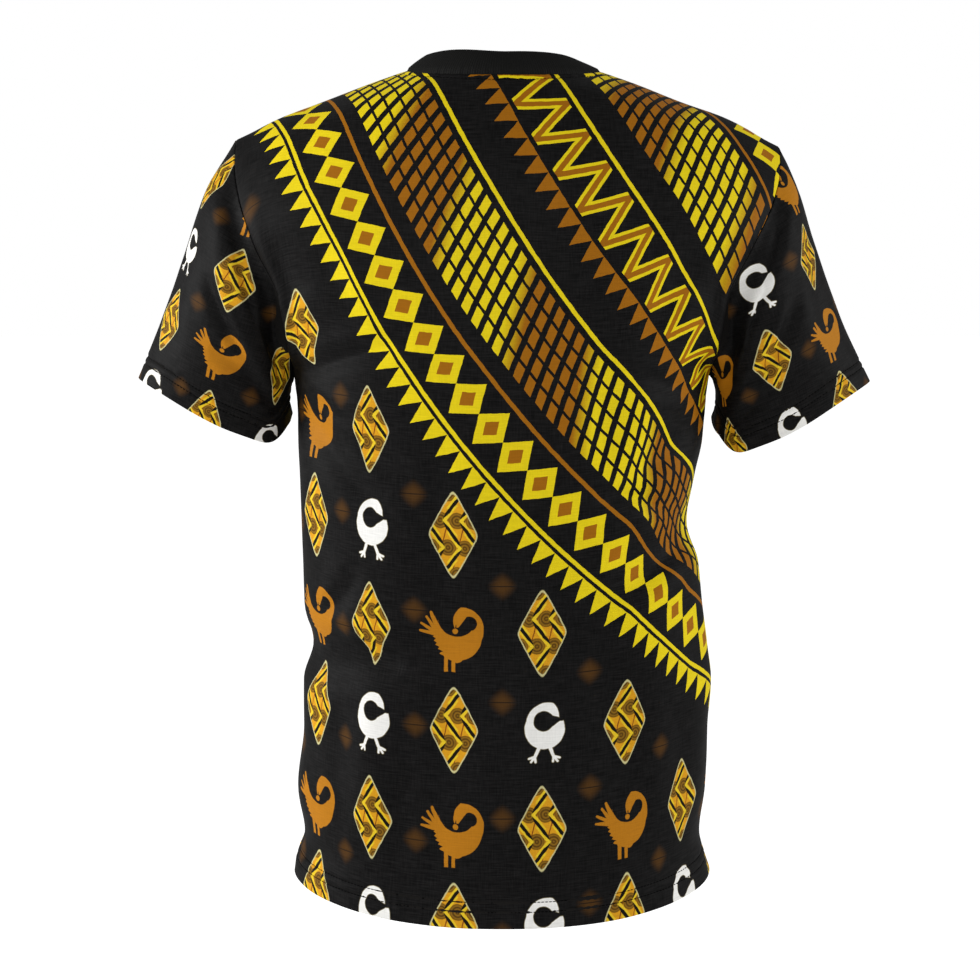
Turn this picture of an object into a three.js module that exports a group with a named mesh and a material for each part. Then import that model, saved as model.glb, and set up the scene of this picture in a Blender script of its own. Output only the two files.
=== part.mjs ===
// A crew-neck T-shirt with set-in short sleeves, worn: hollow, open at neck, hem and cuffs.
// Units are millimetres. +Z is up, the wearer faces -Y, and the wearer's left is +X.
// The origin is midway between the two high shoulder points, where the wearer's shoulders carry it.
//
// The body is one smooth form, woven from columns that run from the front hem, over the shoulder
// ridge, to the back hem. A point on it is form(u, t): u goes across from the right side seam or
// armhole (-1) to the left one (+1), and t goes along a column. Both panels, the neckline and the
// armholes are cut from this form, and the sleeves and the rib start at the edges the cut leaves.
import * as THREE from "three";

// ---- Driving dimensions ----
const CLOTH_WALL = 1.6;
const RIB_WALL = 2.4;
const SEAM_GAP = 0.3;
const NECK_HALF_WIDTH = 83; // high shoulder point, from the centre line
const BACK_NECK_DROP = 9; // neck seam at the centre, below the high shoulder points
const FRONT_NECK_DROP = 92;
const RIB_WIDTH = 21;
const HEM_SAG_BACK = 13; // how far the hem's middle hangs below its side seams
const HEM_SAG_FRONT = 8;
const HEM_SAG_REACH = 220; // height over which that sag dies out
const SIDE_SQUARENESS = 2.3; // superellipse power of the body's rings

// ---- Mesh steps ----
const TUBE_STEPS = 15; // hem to underarm
const YOKE_STEPS = 12; // underarm to shoulder or neckline
const SHOULDER_STEPS = 7; // along each shoulder seam
const NECK_STEPS = 14; // across the neckline
const SLEEVE_STEPS = 9; // armhole to cuff
const RIB_STEPS = 3;

// A table with named columns: one object for each row.
const table = (columns, rows) =>
  rows.map((row) => Object.fromEntries(columns.split(" ").map((name, i) => [name, row[i]])));

// Rings of the body below the underarm, from the hem up: height, half width to the wearer's left
// and right of the centre line, and depth behind and before the side seams.
const TUBE_RINGS = table("z left right back front", [
  [-714, 188, 187, 121, 126],
  [-700, 186, 183, 118, 123],
  [-672, 178, 177, 114, 121],
  [-631, 184, 181, 112, 122],
  [-575, 178, 182, 108, 124],
  [-536, 178, 186, 105, 126],
  [-502, 169, 182, 104, 128],
  [-466, 176, 177, 104, 130],
  [-430, 177, 173, 105, 132],
  [-394, 178, 163, 107, 134],
  [-350, 179, 169, 110, 135],
  [-305, 180, 176, 113, 135],
  [-262, 180, 178, 115, 133],
]);

// Rows above the underarm, from it up to the ridge. left and right are the half widths at the
// armholes, edge_y the depth there, left_z and right_z the heights, mid_y and mid_z where the row
// crosses the centre line, wrap how many degrees of a quarter ellipse the row turns through, and
// slope the power of its fall from middle to edge.
const ROW_COLUMNS = "left right edge_y left_z right_z mid_y mid_z wrap slope";
const BACK_ROWS = table(ROW_COLUMNS, [
  [182, 181, 34, -240, -243, 117, -228, 84, 2.0],
  [189, 187, 58, -197, -200, 117, -172, 76, 2.0],
  [209, 208, 62, -154, -157, 111, -110, 68, 1.9],
  [224, 228, 48, -112, -117, 95, -55, 60, 1.8],
  [230, 237, 26, -82, -88, 68, -10, 55, 1.6],
]);
const FRONT_ROWS = table(ROW_COLUMNS, [
  [182, 181, -34, -240, -243, -131, -230, 84, 2.0],
  [187, 186, -56, -197, -200, -124, -176, 76, 2.0],
  [204, 204, -60, -154, -157, -108, -120, 68, 1.9],
  [221, 224, -46, -112, -117, -84, -66, 60, 1.8],
  [229, 234, -25, -82, -89, -54, -14, 55, 1.6],
]);
const RIDGE = table(ROW_COLUMNS, [[231, 239, 0, -61, -67, 0, 20, 50, 1.3]])[0];

// Rings of each sleeve after the armhole: the ends of the ring at the outside of the arm and under
// it, the ring's middle in depth, how far it swells behind and before that, and how far it droops
// there.
const RING_COLUMNS = "outer_x outer_z under_x under_z middle_y back front droop";
const LEFT_SLEEVE = table(RING_COLUMNS, [
  [254, -97, 185, -272, 0, 66, 64, 0],
  [275, -148, 189, -285, -4, 60, 57, 1],
  [299, -212, 194, -302, -10, 54, 52, 3],
  [324, -268, 199, -321, -18, 51, 49, 6],
]);
const RIGHT_SLEEVE = table(RING_COLUMNS, [
  [-253, -99, -186, -274, 0, 66, 64, 0],
  [-272, -150, -191, -290, -4, 60, 57, 0],
  [-297, -214, -196, -311, -10, 54, 52, 1],
  [-326, -271, -202, -333, -18, 51, 49, 2],
]);

// The rib at the centre back, at the shoulder points and at the centre front: how far above the seam
// and how far inside it the rib leans towards, and how much its width bows outwards.
const RIB_TABLE = table("up inwards bow", [
  [18, 8, 1.5],
  [11.5, 19, 2],
  [17, 10, 1],
]);

// The large soft folds of the body: where the middle of each lies across and up the panel, its half
// length and half width, its direction in degrees from level, and its depth. A ridge is negative.
const FOLD_COLUMNS = "x z half_length half_width turn depth";
// Rows that both panels share: the shoulder seams round out over the wearer's shoulders.
const SHOULDER_ROUNDS = [
  [192, -43, 26, 22, -24, -1.5],
  [-194, -45, 32, 22, 24, -3],
];
const BACK_FOLDS = table(FOLD_COLUMNS, [
  ...SHOULDER_ROUNDS,
  [132, -318, 62, 15, 30, 6],
  [-128, -330, 70, 17, -48, 6],
  [-128, -412, 62, 18, -28, 7],
  [120, -508, 66, 18, -12, 7],
  [-96, -560, 110, 26, 74, 5],
  [60, -600, 120, 28, 96, 5],
]);
const FRONT_FOLDS = table(FOLD_COLUMNS, [
  ...SHOULDER_ROUNDS,
  [120, -305, 66, 16, 36, 6],
  [-122, -322, 60, 16, -30, 6],
  [-118, -404, 58, 17, -16, 6],
  [116, -514, 70, 19, -20, 7],
  [-64, -600, 120, 28, 84, 5],
  [84, -628, 90, 24, 100, 5],
]);

const { degToRad, lerp } = THREE.MathUtils;
const vector = (x, y, z) => new THREE.Vector3(x, y, z);

// ---- Smooth curves through stations ----

// The slope of one coordinate at station i that lets the curve neither overshoot nor ripple.
function slopeAt(values, knots, i) {
  const rise = (k) => (values[k + 1] - values[k]) / (knots[k + 1] - knots[k]);
  if (i === 0) return rise(0);
  if (i === values.length - 1) return rise(i - 1);
  const before = rise(i - 1);
  const after = rise(i);
  if (before * after <= 0) return 0;
  return (2 * before * after) / (before + after);
}

// A curve through points, with its distances along the chord and the tangents at the points.
function curveThrough(points) {
  const knots = [0];
  points.slice(1).forEach((p, i) => knots.push(knots[i] + p.distanceTo(points[i])));
  const axis = (name) => points.map((p) => p[name]);
  const [x, y, z] = ["x", "y", "z"].map(axis);
  const tangents = points.map((_, i) =>
    vector(slopeAt(x, knots, i), slopeAt(y, knots, i), slopeAt(z, knots, i)),
  );
  return { points, knots, tangents };
}

// The point at t along a curve, t counting stations.
function curvePoint({ points, knots, tangents }, t) {
  const i = Math.min(Math.max(Math.floor(t), 0), points.length - 2);
  const s = t - i;
  const span = knots[i + 1] - knots[i];
  return vector(0, 0, 0)
    .addScaledVector(points[i], 2 * s ** 3 - 3 * s ** 2 + 1)
    .addScaledVector(points[i + 1], 3 * s ** 2 - 2 * s ** 3)
    .addScaledVector(tangents[i], (s ** 3 - 2 * s ** 2 + s) * span)
    .addScaledVector(tangents[i + 1], (s ** 3 - s ** 2) * span);
}

// ---- The body's form ----

// A point of a ring below the underarm.
function ringPoint(ring, side, u) {
  const power = 2 / SIDE_SQUARENESS;
  const turn = degToRad(90 * Math.abs(u));
  const half = u > 0 ? ring.left : ring.right;
  const depth = side === "back" ? ring.back : -ring.front;
  const sag = side === "back" ? HEM_SAG_BACK : HEM_SAG_FRONT;
  const low = Math.max(0, 1 - (ring.z - TUBE_RINGS[0].z) / HEM_SAG_REACH);
  const cosine = Math.cos(turn);
  return vector(
    Math.sign(u) * half * Math.sin(turn) ** power,
    depth * Math.sign(cosine) * Math.abs(cosine) ** power,
    ring.z - sag * low * low * cosine * cosine,
  );
}

// A point of a row above the underarm.
function rowPoint(row, u) {
  const turn = degToRad(row.wrap);
  const across = Math.sin(turn * Math.abs(u)) / Math.sin(turn);
  const round = (Math.cos(turn * u) - Math.cos(turn)) / (1 - Math.cos(turn));
  const half = u > 0 ? row.left : row.right;
  const edgeZ = u > 0 ? row.left_z : row.right_z;
  return vector(
    Math.sign(u) * half * across,
    lerp(row.edge_y, row.mid_y, round),
    lerp(row.mid_z, edgeZ, across ** row.slope),
  );
}

// The stations that every column passes through, from the front hem over the ridge to the back hem.
const STATIONS = [
  ...TUBE_RINGS.map((ring) => (u) => ringPoint(ring, "front", u)),
  ...FRONT_ROWS.map((row) => (u) => rowPoint(row, u)),
  (u) => rowPoint(RIDGE, u),
  ...BACK_ROWS.toReversed().map((row) => (u) => rowPoint(row, u)),
  ...TUBE_RINGS.toReversed().map((ring) => (u) => ringPoint(ring, "back", u)),
];
const LAST_T = STATIONS.length - 1;
const RIDGE_T = LAST_T / 2;
const UNDERARM_T = TUBE_RINGS.length - 1;

const columns = new Map();

// The point of the body's form at u across and t along, before folds.
function form(u, t) {
  if (!columns.has(u)) columns.set(u, curveThrough(STATIONS.map((station) => station(u))));
  return curvePoint(columns.get(u), t);
}

// The form's outward normal.
function formNormal(u, t) {
  const step = 1e-3;
  const across = form(u + step, t).sub(form(u - step, t));
  const along = form(u, Math.min(t + step, LAST_T)).sub(form(u, Math.max(t - step, 0)));
  return across.cross(along).normalize();
}

// How deep the folds are at a point of a panel: nothing at its seams, which hold the cloth.
function foldDepth(folds, point, u) {
  const free = THREE.MathUtils.smoothstep(1 - Math.abs(u), 0, 0.16);
  return folds.reduce((sum, fold) => {
    const turn = degToRad(fold.turn);
    const dx = point.x - fold.x;
    const dz = point.z - fold.z;
    const along = (dx * Math.cos(turn) + dz * Math.sin(turn)) / fold.half_length;
    const across = (dz * Math.cos(turn) - dx * Math.sin(turn)) / fold.half_width;
    return sum + fold.depth * free * Math.exp(-(along ** 2) - across ** 2);
  }, 0);
}

// ---- Cutting the panels ----

// Halves an interval until test changes inside it, and returns where.
function bisect(low, high, test) {
  for (let i = 0; i < 40; i++) {
    const middle = (low + high) / 2;
    if (test(middle)) low = middle;
    else high = middle;
  }
  return low;
}

// How far across the ridge the neck's corners are, to the right and to the left.
const NECK_RIGHT = bisect(0, -1, (u) => form(u, RIDGE_T).x > -NECK_HALF_WIDTH);
const NECK_LEFT = bisect(0, 1, (u) => form(u, RIDGE_T).x < NECK_HALF_WIDTH);

// A panel's columns, each with its u and the t of its top: the ridge, or the neckline's U.
function panelColumns(side) {
  const ends = { back: [BACK_NECK_DROP, LAST_T], front: [FRONT_NECK_DROP, 0] };
  const [drop, hem] = ends[side];
  const found = [];
  for (let i = 0; i < SHOULDER_STEPS; i++)
    found.push({ u: lerp(-1, NECK_RIGHT, i / SHOULDER_STEPS), top: RIDGE_T });
  for (let i = 0; i <= NECK_STEPS; i++) {
    const turn = Math.PI * (i / NECK_STEPS - 0.5);
    const u = Math.sin(turn) * (turn < 0 ? -NECK_RIGHT : NECK_LEFT);
    const corner = form(turn < 0 ? NECK_RIGHT : NECK_LEFT, RIDGE_T).z;
    const seam = corner - drop * Math.cos(turn);
    const top = bisect(hem, RIDGE_T, (t) => form(u, t).z < seam);
    found.push({ u, top: i % NECK_STEPS === 0 ? RIDGE_T : top });
  }
  for (let i = 1; i <= SHOULDER_STEPS; i++)
    found.push({ u: lerp(NECK_LEFT, 1, i / SHOULDER_STEPS), top: RIDGE_T });
  return found;
}

// A panel's grid of points and outward normals: rows from hem to top, each from right to left.
function panelGrid(side, folds) {
  const fromHem = (t) => (side === "back" ? LAST_T - t : t);
  const shift = ((side === "back" ? 1 : -1) * SEAM_GAP) / 2;
  const cell = ({ u, top }, j) => {
    const inTube = Math.min(1, j / TUBE_STEPS);
    const inYoke = Math.max(0, (j - TUBE_STEPS) / YOKE_STEPS);
    const t = fromHem(lerp(UNDERARM_T * inTube, fromHem(top), inYoke));
    const normal = formNormal(u, t);
    const point = form(u, t);
    const depth = foldDepth(folds, point, u);
    return { point: point.addScaledVector(normal, -depth).setY(point.y + shift), normal };
  };
  const rows = [];
  for (let j = 0; j <= TUBE_STEPS + YOKE_STEPS; j++)
    rows.push(panelColumns(side).map((found) => cell(found, j)));
  return rows;
}

// ---- Sleeves and rib, from the panels' edges ----

// A closed edge of the body, moved past the seam gap along the cloth, with the way off the body at
// each point. The edge is walked so that the outward normal crossed with its direction gives that.
function seamLoop(edge) {
  return edge.map(({ point, normal }, i) => {
    const next = edge[(i + 1) % edge.length].point;
    const before = edge[(i + edge.length - 1) % edge.length].point;
    const off = normal.clone().cross(next.clone().sub(before)).normalize();
    return { point: point.clone().addScaledVector(off, SEAM_GAP), normal, off };
  });
}

// Adds outward normals to a closed grid of points, whose first row starts at a seam. Where the cloth
// bends away there, the normals are turned so that the wall behind does not reach back past the
// seam, and where it folds back over the body, its edge stands off the body by the gap.
function tubeGrid(points, start) {
  const rows = points.length;
  const around = points[0].length;
  return points.map((row, j) =>
    row.map((point, i) => {
      const across = row[(i + 1) % around].clone().sub(row[(i + around - 1) % around]);
      const low = points[Math.max(j - 1, 0)][i];
      const along = points[Math.min(j + 1, rows - 1)][i].clone().sub(low);
      const normal = across.cross(along).normalize();
      if (j > 0) return { point, normal };
      const { off, normal: onBody } = start[i];
      const lean = normal.dot(off);
      if (lean > 0) return { point, normal: normal.addScaledVector(off, -lean).normalize() };
      return { point: point.clone().addScaledVector(onBody, -lean * SEAM_GAP), normal };
    }),
  );
}

// A point of a sleeve's ring: turn is 0 under the arm, 90 behind it, 180 outside and 270 in front.
function sleevePoint(ring, turn) {
  const swell = Math.sin(turn) > 0 ? ring.back : ring.front;
  const share = (1 - Math.cos(turn)) / 2;
  return vector(
    lerp(ring.under_x, ring.outer_x, share),
    ring.middle_y + swell * Math.sin(turn),
    lerp(ring.under_z, ring.outer_z, share) - ring.droop * Math.sin(turn) ** 2,
  );
}

// A sleeve's grid. behind and before are the armhole's edges on the back and front panels, both
// from the underarm up, and the rings take each edge's length evenly round their own half.
function sleeveGrid(behind, before, rings, backFirst) {
  const turns = (edge) => {
    const far = [0];
    edge.slice(1).forEach(({ point }, i) => far.push(far[i] + point.distanceTo(edge[i].point)));
    return far.map((length) => (Math.PI * length) / far.at(-1));
  };
  const backTurns = turns(behind);
  const frontTurns = turns(before).map((turn) => 2 * Math.PI - turn);
  const loop = [...behind, ...before.slice(1, -1).toReversed()];
  const loopTurns = [...backTurns, ...frontTurns.slice(1, -1).toReversed()];
  if (!backFirst) {
    loop.reverse();
    loopTurns.reverse();
  }
  const start = seamLoop(loop);
  const points = Array.from({ length: SLEEVE_STEPS + 1 }, () => []);
  start.forEach(({ point }, i) => {
    const stations = [point, ...rings.map((ring) => sleevePoint(ring, loopTurns[i]))];
    const curve = curveThrough(stations);
    points.forEach((row, j) => row.push(curvePoint(curve, (rings.length * j) / SLEEVE_STEPS)));
  });
  return tubeGrid(points, start);
}

// The rib's grid, from the neckline's back and front edges, both from right to left. It leans
// towards an oval inside the seam.
function ribGrid(behind, before) {
  const start = seamLoop([...behind.toReversed(), ...before.slice(1, -1)]);
  const half = behind.length - 1;
  const [atBack, atSide, atFront] = RIB_TABLE;
  const points = Array.from({ length: RIB_STEPS + 1 }, () => []);
  start.forEach(({ point, normal }, i) => {
    const turn = (Math.PI * i) / half; // 0 at the left shoulder point, 90 at the back
    const behindNeck = i <= half;
    const end = behindNeck ? atBack : atFront;
    const reach = Math.abs(start[behindNeck ? half / 2 : (3 * half) / 2].point.y) - end.inwards;
    const blend = (name) => lerp(atSide[name], end[name], Math.abs(Math.sin(turn)));
    const oval = vector(
      (NECK_HALF_WIDTH - atSide.inwards) * Math.cos(turn),
      reach * Math.sin(turn),
      point.z + blend("up"),
    );
    const edge = point.clone().add(oval.sub(point).setLength(RIB_WIDTH));
    points.forEach((row, j) => {
      const share = j / RIB_STEPS;
      const bow = blend("bow") * 4 * share * (1 - share);
      row.push(point.clone().lerp(edge, share).addScaledVector(normal, bow));
    });
  });
  return tubeGrid(points, start);
}

// ---- Making a closed wall from a grid ----

// A wall of cloth: the grid's points outside, the same points moved in along their normals inside,
// and a rim round the open edges. A tube joins its last column to its first.
function wall(grid, thickness, tube) {
  const rows = grid.length;
  const around = grid[0].length;
  const positions = [0, thickness].flatMap((depth) =>
    grid.flat().flatMap(({ point, normal }) => point.clone().addScaledVector(normal, -depth).toArray()),
  );
  const at = (layer, j, i) => (layer * rows + j) * around + (i % around);
  const corner = (i) => vector(...positions.slice(3 * i, 3 * i + 3));
  const triangles = [];
  const quad = (a, b, c, d) => {
    const alongAC = corner(a).distanceTo(corner(c)) <= corner(b).distanceTo(corner(d));
    triangles.push(...(alongAC ? [a, b, c, a, c, d] : [a, b, d, b, c, d]));
  };
  const last = tube ? around : around - 1;
  const top = rows - 1;
  for (let i = 0; i < last; i++) {
    for (let j = 0; j < top; j++) {
      quad(at(0, j, i), at(0, j, i + 1), at(0, j + 1, i + 1), at(0, j + 1, i));
      quad(at(1, j, i), at(1, j + 1, i), at(1, j + 1, i + 1), at(1, j, i + 1));
    }
    quad(at(0, 0, i), at(1, 0, i), at(1, 0, i + 1), at(0, 0, i + 1));
    quad(at(0, top, i + 1), at(1, top, i + 1), at(1, top, i), at(0, top, i));
  }
  if (!tube)
    for (let j = 0; j < top; j++) {
      const end = around - 1;
      quad(at(0, j, 0), at(0, j + 1, 0), at(1, j + 1, 0), at(1, j, 0));
      quad(at(0, j + 1, end), at(0, j, end), at(1, j, end), at(1, j + 1, end));
    }
  return new THREE.BufferGeometry()
    .setAttribute("position", new THREE.Float32BufferAttribute(positions, 3))
    .setIndex(triangles);
}

// ---- The pieces ----

function piece(name, grid, thickness, tube, colour) {
  const cloth = new THREE.MeshStandardMaterial({ color: colour, roughness: 0.85, metalness: 0 });
  const mesh = new THREE.Mesh(wall(grid, thickness, tube), cloth);
  mesh.name = name;
  return mesh;
}

const KNIT = 0x1f1d1b;
const RIB = 0x171716;

const back = panelGrid("back", BACK_FOLDS);
const front = panelGrid("front", FRONT_FOLDS);

// A panel's armhole edge on one side, from the underarm up, and its neckline.
const armhole = (panel, side) => panel.slice(TUBE_STEPS).map((row) => row.at(side === "left" ? -1 : 0));
const neckline = (panel) => panel.at(-1).slice(SHOULDER_STEPS, SHOULDER_STEPS + NECK_STEPS + 1);

const leftSleeve = sleeveGrid(armhole(back, "left"), armhole(front, "left"), LEFT_SLEEVE, true);
const rightSleeve = sleeveGrid(armhole(back, "right"), armhole(front, "right"), RIGHT_SLEEVE, false);
const rib = ribGrid(neckline(back), neckline(front));

const shirt = new THREE.Group();
shirt.add(
  piece("back_panel", back.map((row) => row.toReversed()), CLOTH_WALL, false, KNIT),
  piece("front_panel", front, CLOTH_WALL, false, KNIT),
  piece("left_sleeve", leftSleeve, CLOTH_WALL, true, KNIT),
  piece("right_sleeve", rightSleeve, CLOTH_WALL, true, KNIT),
  piece("neck_rib", rib, RIB_WALL, true, RIB),
);
export default shirt;
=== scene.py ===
# %% [markdown]
# # A printed T-shirt, worn
# This is a lesson in modelling a garment as its maker makes it. A T-shirt is five pieces of knitted
# cloth: a back and a front panel, two sleeves, and a ribbed band at the neck. The panels are cut
# flat, sewn along the shoulders and the sides, and a figure inside pushes the cloth into shape.
# The shirt could be sculpted from one block, but then the seams, hems and openings would be drawn
# on instead of made. Here each piece is a thin sheet, laid on the form of a worn body, with its
# edges turned under like the real ones. All sizes are in millimetres until a mesh is written.

import bpy
import numpy as np
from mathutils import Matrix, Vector


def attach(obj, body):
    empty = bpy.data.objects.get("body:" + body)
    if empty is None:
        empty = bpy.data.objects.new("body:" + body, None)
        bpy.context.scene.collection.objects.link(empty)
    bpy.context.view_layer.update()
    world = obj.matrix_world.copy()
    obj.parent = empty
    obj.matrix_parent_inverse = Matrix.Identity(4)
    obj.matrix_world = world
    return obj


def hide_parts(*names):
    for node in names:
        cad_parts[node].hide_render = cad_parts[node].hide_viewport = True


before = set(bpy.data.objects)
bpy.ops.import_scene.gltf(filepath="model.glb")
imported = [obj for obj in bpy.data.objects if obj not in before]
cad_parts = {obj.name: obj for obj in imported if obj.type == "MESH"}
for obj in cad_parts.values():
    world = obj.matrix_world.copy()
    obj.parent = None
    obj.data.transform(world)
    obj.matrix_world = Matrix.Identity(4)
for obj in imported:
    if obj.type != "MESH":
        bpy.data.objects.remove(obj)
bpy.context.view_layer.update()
bpy.ops.object.select_all(action="DESELECT")

# %% [markdown]
# ## Where we look from
# The shirt is seen straight from behind, from about chest height, with a fairly long lens, so that
# its two sides stay parallel. The lens is worked out from the distance: at 1.7 metres one picture
# point covers 0.88 mm of the shirt.

# %% Camera
EYE, AIM = Vector((0.0114, 1.7, -0.165)), Vector((0.0114, 0, -0.367))
SENSOR, FAR, MM_PER_POINT, POINTS = 36, 1700, 0.88, 980
bpy.ops.object.camera_add(location=EYE, rotation=(AIM - EYE).to_track_quat("-Z", "Y").to_euler())
camera = bpy.context.object
camera.data.sensor_width = SENSOR
camera.data.lens = SENSOR * FAR / MM_PER_POINT / POINTS
bpy.context.scene.camera = camera
print("lens", round(camera.data.lens, 1), "mm")

# %% [markdown]
# ## Smooth curves
# The body's form is known at a few rings. Between them a curve has to be smooth, but it must not
# swing past a ring, or the cloth would ripple where the figure doesn't. A slope that is the
# harmonic mean of the rises before and after does that, and is zero wherever the curve turns back.

# %% A smooth curve through stations, for many columns at once
def along(stations, t):
    """Points at t, counted in stations: stations is S x N x 3, t is M x N, the result M x N x 3."""
    steps = np.diff(stations, axis=0)
    spans = np.linalg.norm(steps, axis=2, keepdims=True)
    rise = steps / spans
    before, after = rise[:-1], rise[1:]
    agree = before * after > 0
    middle = np.where(agree, 2 * before * after / np.where(agree, before + after, 1), 0)
    slopes = np.concatenate([rise[:1], middle, rise[-1:]])
    i = np.clip(np.floor(t).astype(int), 0, len(stations) - 2)
    n = np.arange(stations.shape[1])[None]
    s, span = (t - i)[..., None], spans[i, n]
    return (
        stations[i, n] * (2 * s**3 - 3 * s**2 + 1)
        + stations[i + 1, n] * (3 * s**2 - 2 * s**3)
        + slopes[i, n] * (s**3 - 2 * s**2 + s) * span
        + slopes[i + 1, n] * (s**3 - s**2) * span
    )


rise = along(np.array([0.0, 1, 1, 4])[:, None, None], np.array([0.5, 1.5, 2.5])[:, None])
print("between heights 0, 1, 1 and 4 the curve is at", rise.ravel().round(2))

# %% [markdown]
# ## The form under the cloth
# The cloth of both panels lies on one form. A column of it runs from the front hem, over the
# shoulder, to the back hem: `u` says which column, from the right side seam at -1 to the left one
# at +1, and `t` how far along, in stations. The stations are the solid's rings, a few
# of them moved by some millimetres.

# %% The rings of the body and the rows of the shoulders
# height, half width left and right, depth behind and before
TUBE = [
    (-709, 188, 187, 121, 126), (-697, 186, 183, 118, 123), (-672, 178, 177, 114, 121),
    (-631, 184, 181, 112, 122), (-575, 178, 182, 108, 124), (-536, 178, 186, 105, 126),
    (-502, 169, 182, 104, 128), (-466, 176, 177, 104, 130), (-430, 177, 173, 105, 132),
    (-394, 178, 163, 107, 134), (-350, 179, 169, 110, 135), (-305, 180, 176, 113, 135),
    (-262, 180, 178, 115, 133),
]
# half width left and right, edge depth, edge height left and right, middle depth and height,
# how many degrees the row turns through, and the power of its fall to the edge
ROWS = {
    "back": [
        (182, 181, 34, -240, -243, 117, -228, 84, 2.0), (189, 187, 58, -197, -200, 117, -172, 76, 2.0),
        (209, 208, 62, -154, -157, 111, -110, 68, 1.9), (224, 228, 48, -112, -117, 95, -55, 60, 1.8),
        (230, 237, 26, -82, -88, 68, -10, 55, 1.6),
    ],
    "front": [
        (182, 181, -34, -240, -243, -131, -230, 84, 2.0), (187, 186, -56, -197, -200, -124, -176, 76, 2.0),
        (204, 204, -60, -154, -157, -108, -120, 68, 1.9), (221, 224, -46, -112, -117, -84, -66, 60, 1.8),
        (229, 234, -25, -82, -89, -54, -14, 55, 1.6),
    ],
}
RIDGE = (231, 239, 0, -61, -67, 0, 18.6, 50, 1.3)
UNDERARM, TOP = len(TUBE) - 1, len(TUBE) + len(ROWS["back"])  # in stations from the hem
print("the form is", TOP, "stations from hem to shoulder")

# %% [markdown]
# ## From tables to curves
# A body's cross-section is squarer than an ellipse, so a ring is a superellipse, whose power can be
# set. A row over the shoulders is part of an arc, which falls off towards the armholes. The hem hangs
# lower in the middle than at its seams, because the cloth runs over the seat and the belly there.

# %% One ring, one row, and the whole form
HEM_SAG, SAG_REACH = {"back": 18, "front": 13}, 220
SQUARENESS = 2.3


def pick(u, left, right):
    return np.where(u > 0, left, right)


def ring(values, side, u):
    z, left, right, back, front = values
    turn, power = np.pi / 2 * np.abs(u), 2 / SQUARENESS
    low = max(0, 1 - (z - TUBE[0][0]) / SAG_REACH)
    cosine = np.cos(turn)
    return np.stack([
        np.sign(u) * pick(u, left, right) * np.sin(turn) ** power,
        (back if side == "back" else -front) * np.sign(cosine) * np.abs(cosine) ** power,
        z - HEM_SAG[side] * low**2 * cosine**2,
    ], -1)


def row(values, u):
    left, right, edge_y, left_z, right_z, mid_y, mid_z, wrap, slope = values
    turn = np.radians(wrap)
    across = np.sin(turn * np.abs(u)) / np.sin(turn)
    round_off = (np.cos(turn * u) - np.cos(turn)) / (1 - np.cos(turn))
    return np.stack([
        np.sign(u) * pick(u, left, right) * across,
        edge_y + (mid_y - edge_y) * round_off,
        mid_z + (pick(u, left_z, right_z) - mid_z) * across**slope,
    ], -1)


def form(side, u, t):
    """The form at columns u (N) and t stations above the hem (M x N) of one side."""
    other = "front" if side == "back" else "back"
    over = [row(v, u) for v in [*ROWS[side], RIDGE, *ROWS[other][::-1]]]
    return along(np.stack([ring(v, side, u) for v in TUBE] + over), t)


def unit(v):
    return v / np.linalg.norm(v, axis=-1, keepdims=True)


def normals(side, u, t, step=1e-3):
    """The directions square to the form, outwards."""
    du = form(side, u + step, t) - form(side, u - step, t)
    dt = form(side, u, t + step) - form(side, u, t - step)
    return unit(np.cross(dt, du) if side == "back" else np.cross(du, dt))


middle_line = form("back", np.zeros(1), np.array([[0.0], [TOP]]))[:, 0]
print("middle of the back, hem and ridge, mm:", middle_line.round())

# %% [markdown]
# ## Folds and creases
# Cloth on a figure hangs from the shoulders and the shoulder blades, and its spare width gathers
# into folds that start at the armpits and die out below. A cloth simulation makes such folds by
# chance. Placed one by one, they lie where this shirt's do. A fold is a broad soft swell. A crease is
# narrower: a trough with a lip on one side, deepest in the middle, that bends on its way.

# %% Folds and creases as depths
def folds_at(a, b, folds):
    """How deep soft folds press at places a, b. Each: a, b, half length, half width, turn, depth."""
    depth = np.zeros_like(a)
    for at, up, half_length, half_width, turn, deep in folds:
        c, s = np.cos(np.radians(turn)), np.sin(np.radians(turn))
        far = ((a - at) * c + (b - up) * s) / half_length
        off = ((b - up) * c - (a - at) * s) / half_width
        depth += deep * np.exp(-(far**2) - off**2)
    return depth


def creases_at(a, b, creases):
    """How deep creases press at places a, b. Each: start a, b, end a, b, bend, width, depth."""
    depth = np.zeros_like(a)
    share = np.linspace(0, 1, 40)
    for a0, b0, a1, b1, bend, width, deep in creases:
        length = np.hypot(a1 - a0, b1 - b0)
        bow = 4 * bend * share * (1 - share)
        line_a = a0 + (a1 - a0) * share - (b1 - b0) / length * bow
        line_b = b0 + (b1 - b0) * share + (a1 - a0) / length * bow
        gap = np.hypot(a[..., None] - line_a, b[..., None] - line_b)
        near = gap.argmin(-1)
        side = np.sign((a - line_a[near]) * (b1 - b0) - (b - line_b[near]) * (a1 - a0))
        off = gap.min(-1) * side / width
        taper = np.sin(np.pi * np.clip(share[near], 0.02, 0.98)) ** 0.7
        depth += 1.7 * deep * taper * (np.exp(-(off**2)) - 0.45 * np.exp(-((off - 1.7) ** 2) / 1.4))
    return depth


def unrest(a, b, seed):
    """Slow uneven swells between -1 and 1, for cloth that never lies quite true."""
    dice = np.random.default_rng(seed)
    total = np.zeros_like(a)
    for length in (150, 110, 80, 62, 47, 36):
        turn, phase = dice.uniform(0, np.pi), dice.uniform(0, 2 * np.pi)
        total += length / 150 * np.sin(2 * np.pi / length * (a * np.cos(turn) + b * np.sin(turn)) + phase)
    return total / 2.6


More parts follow.
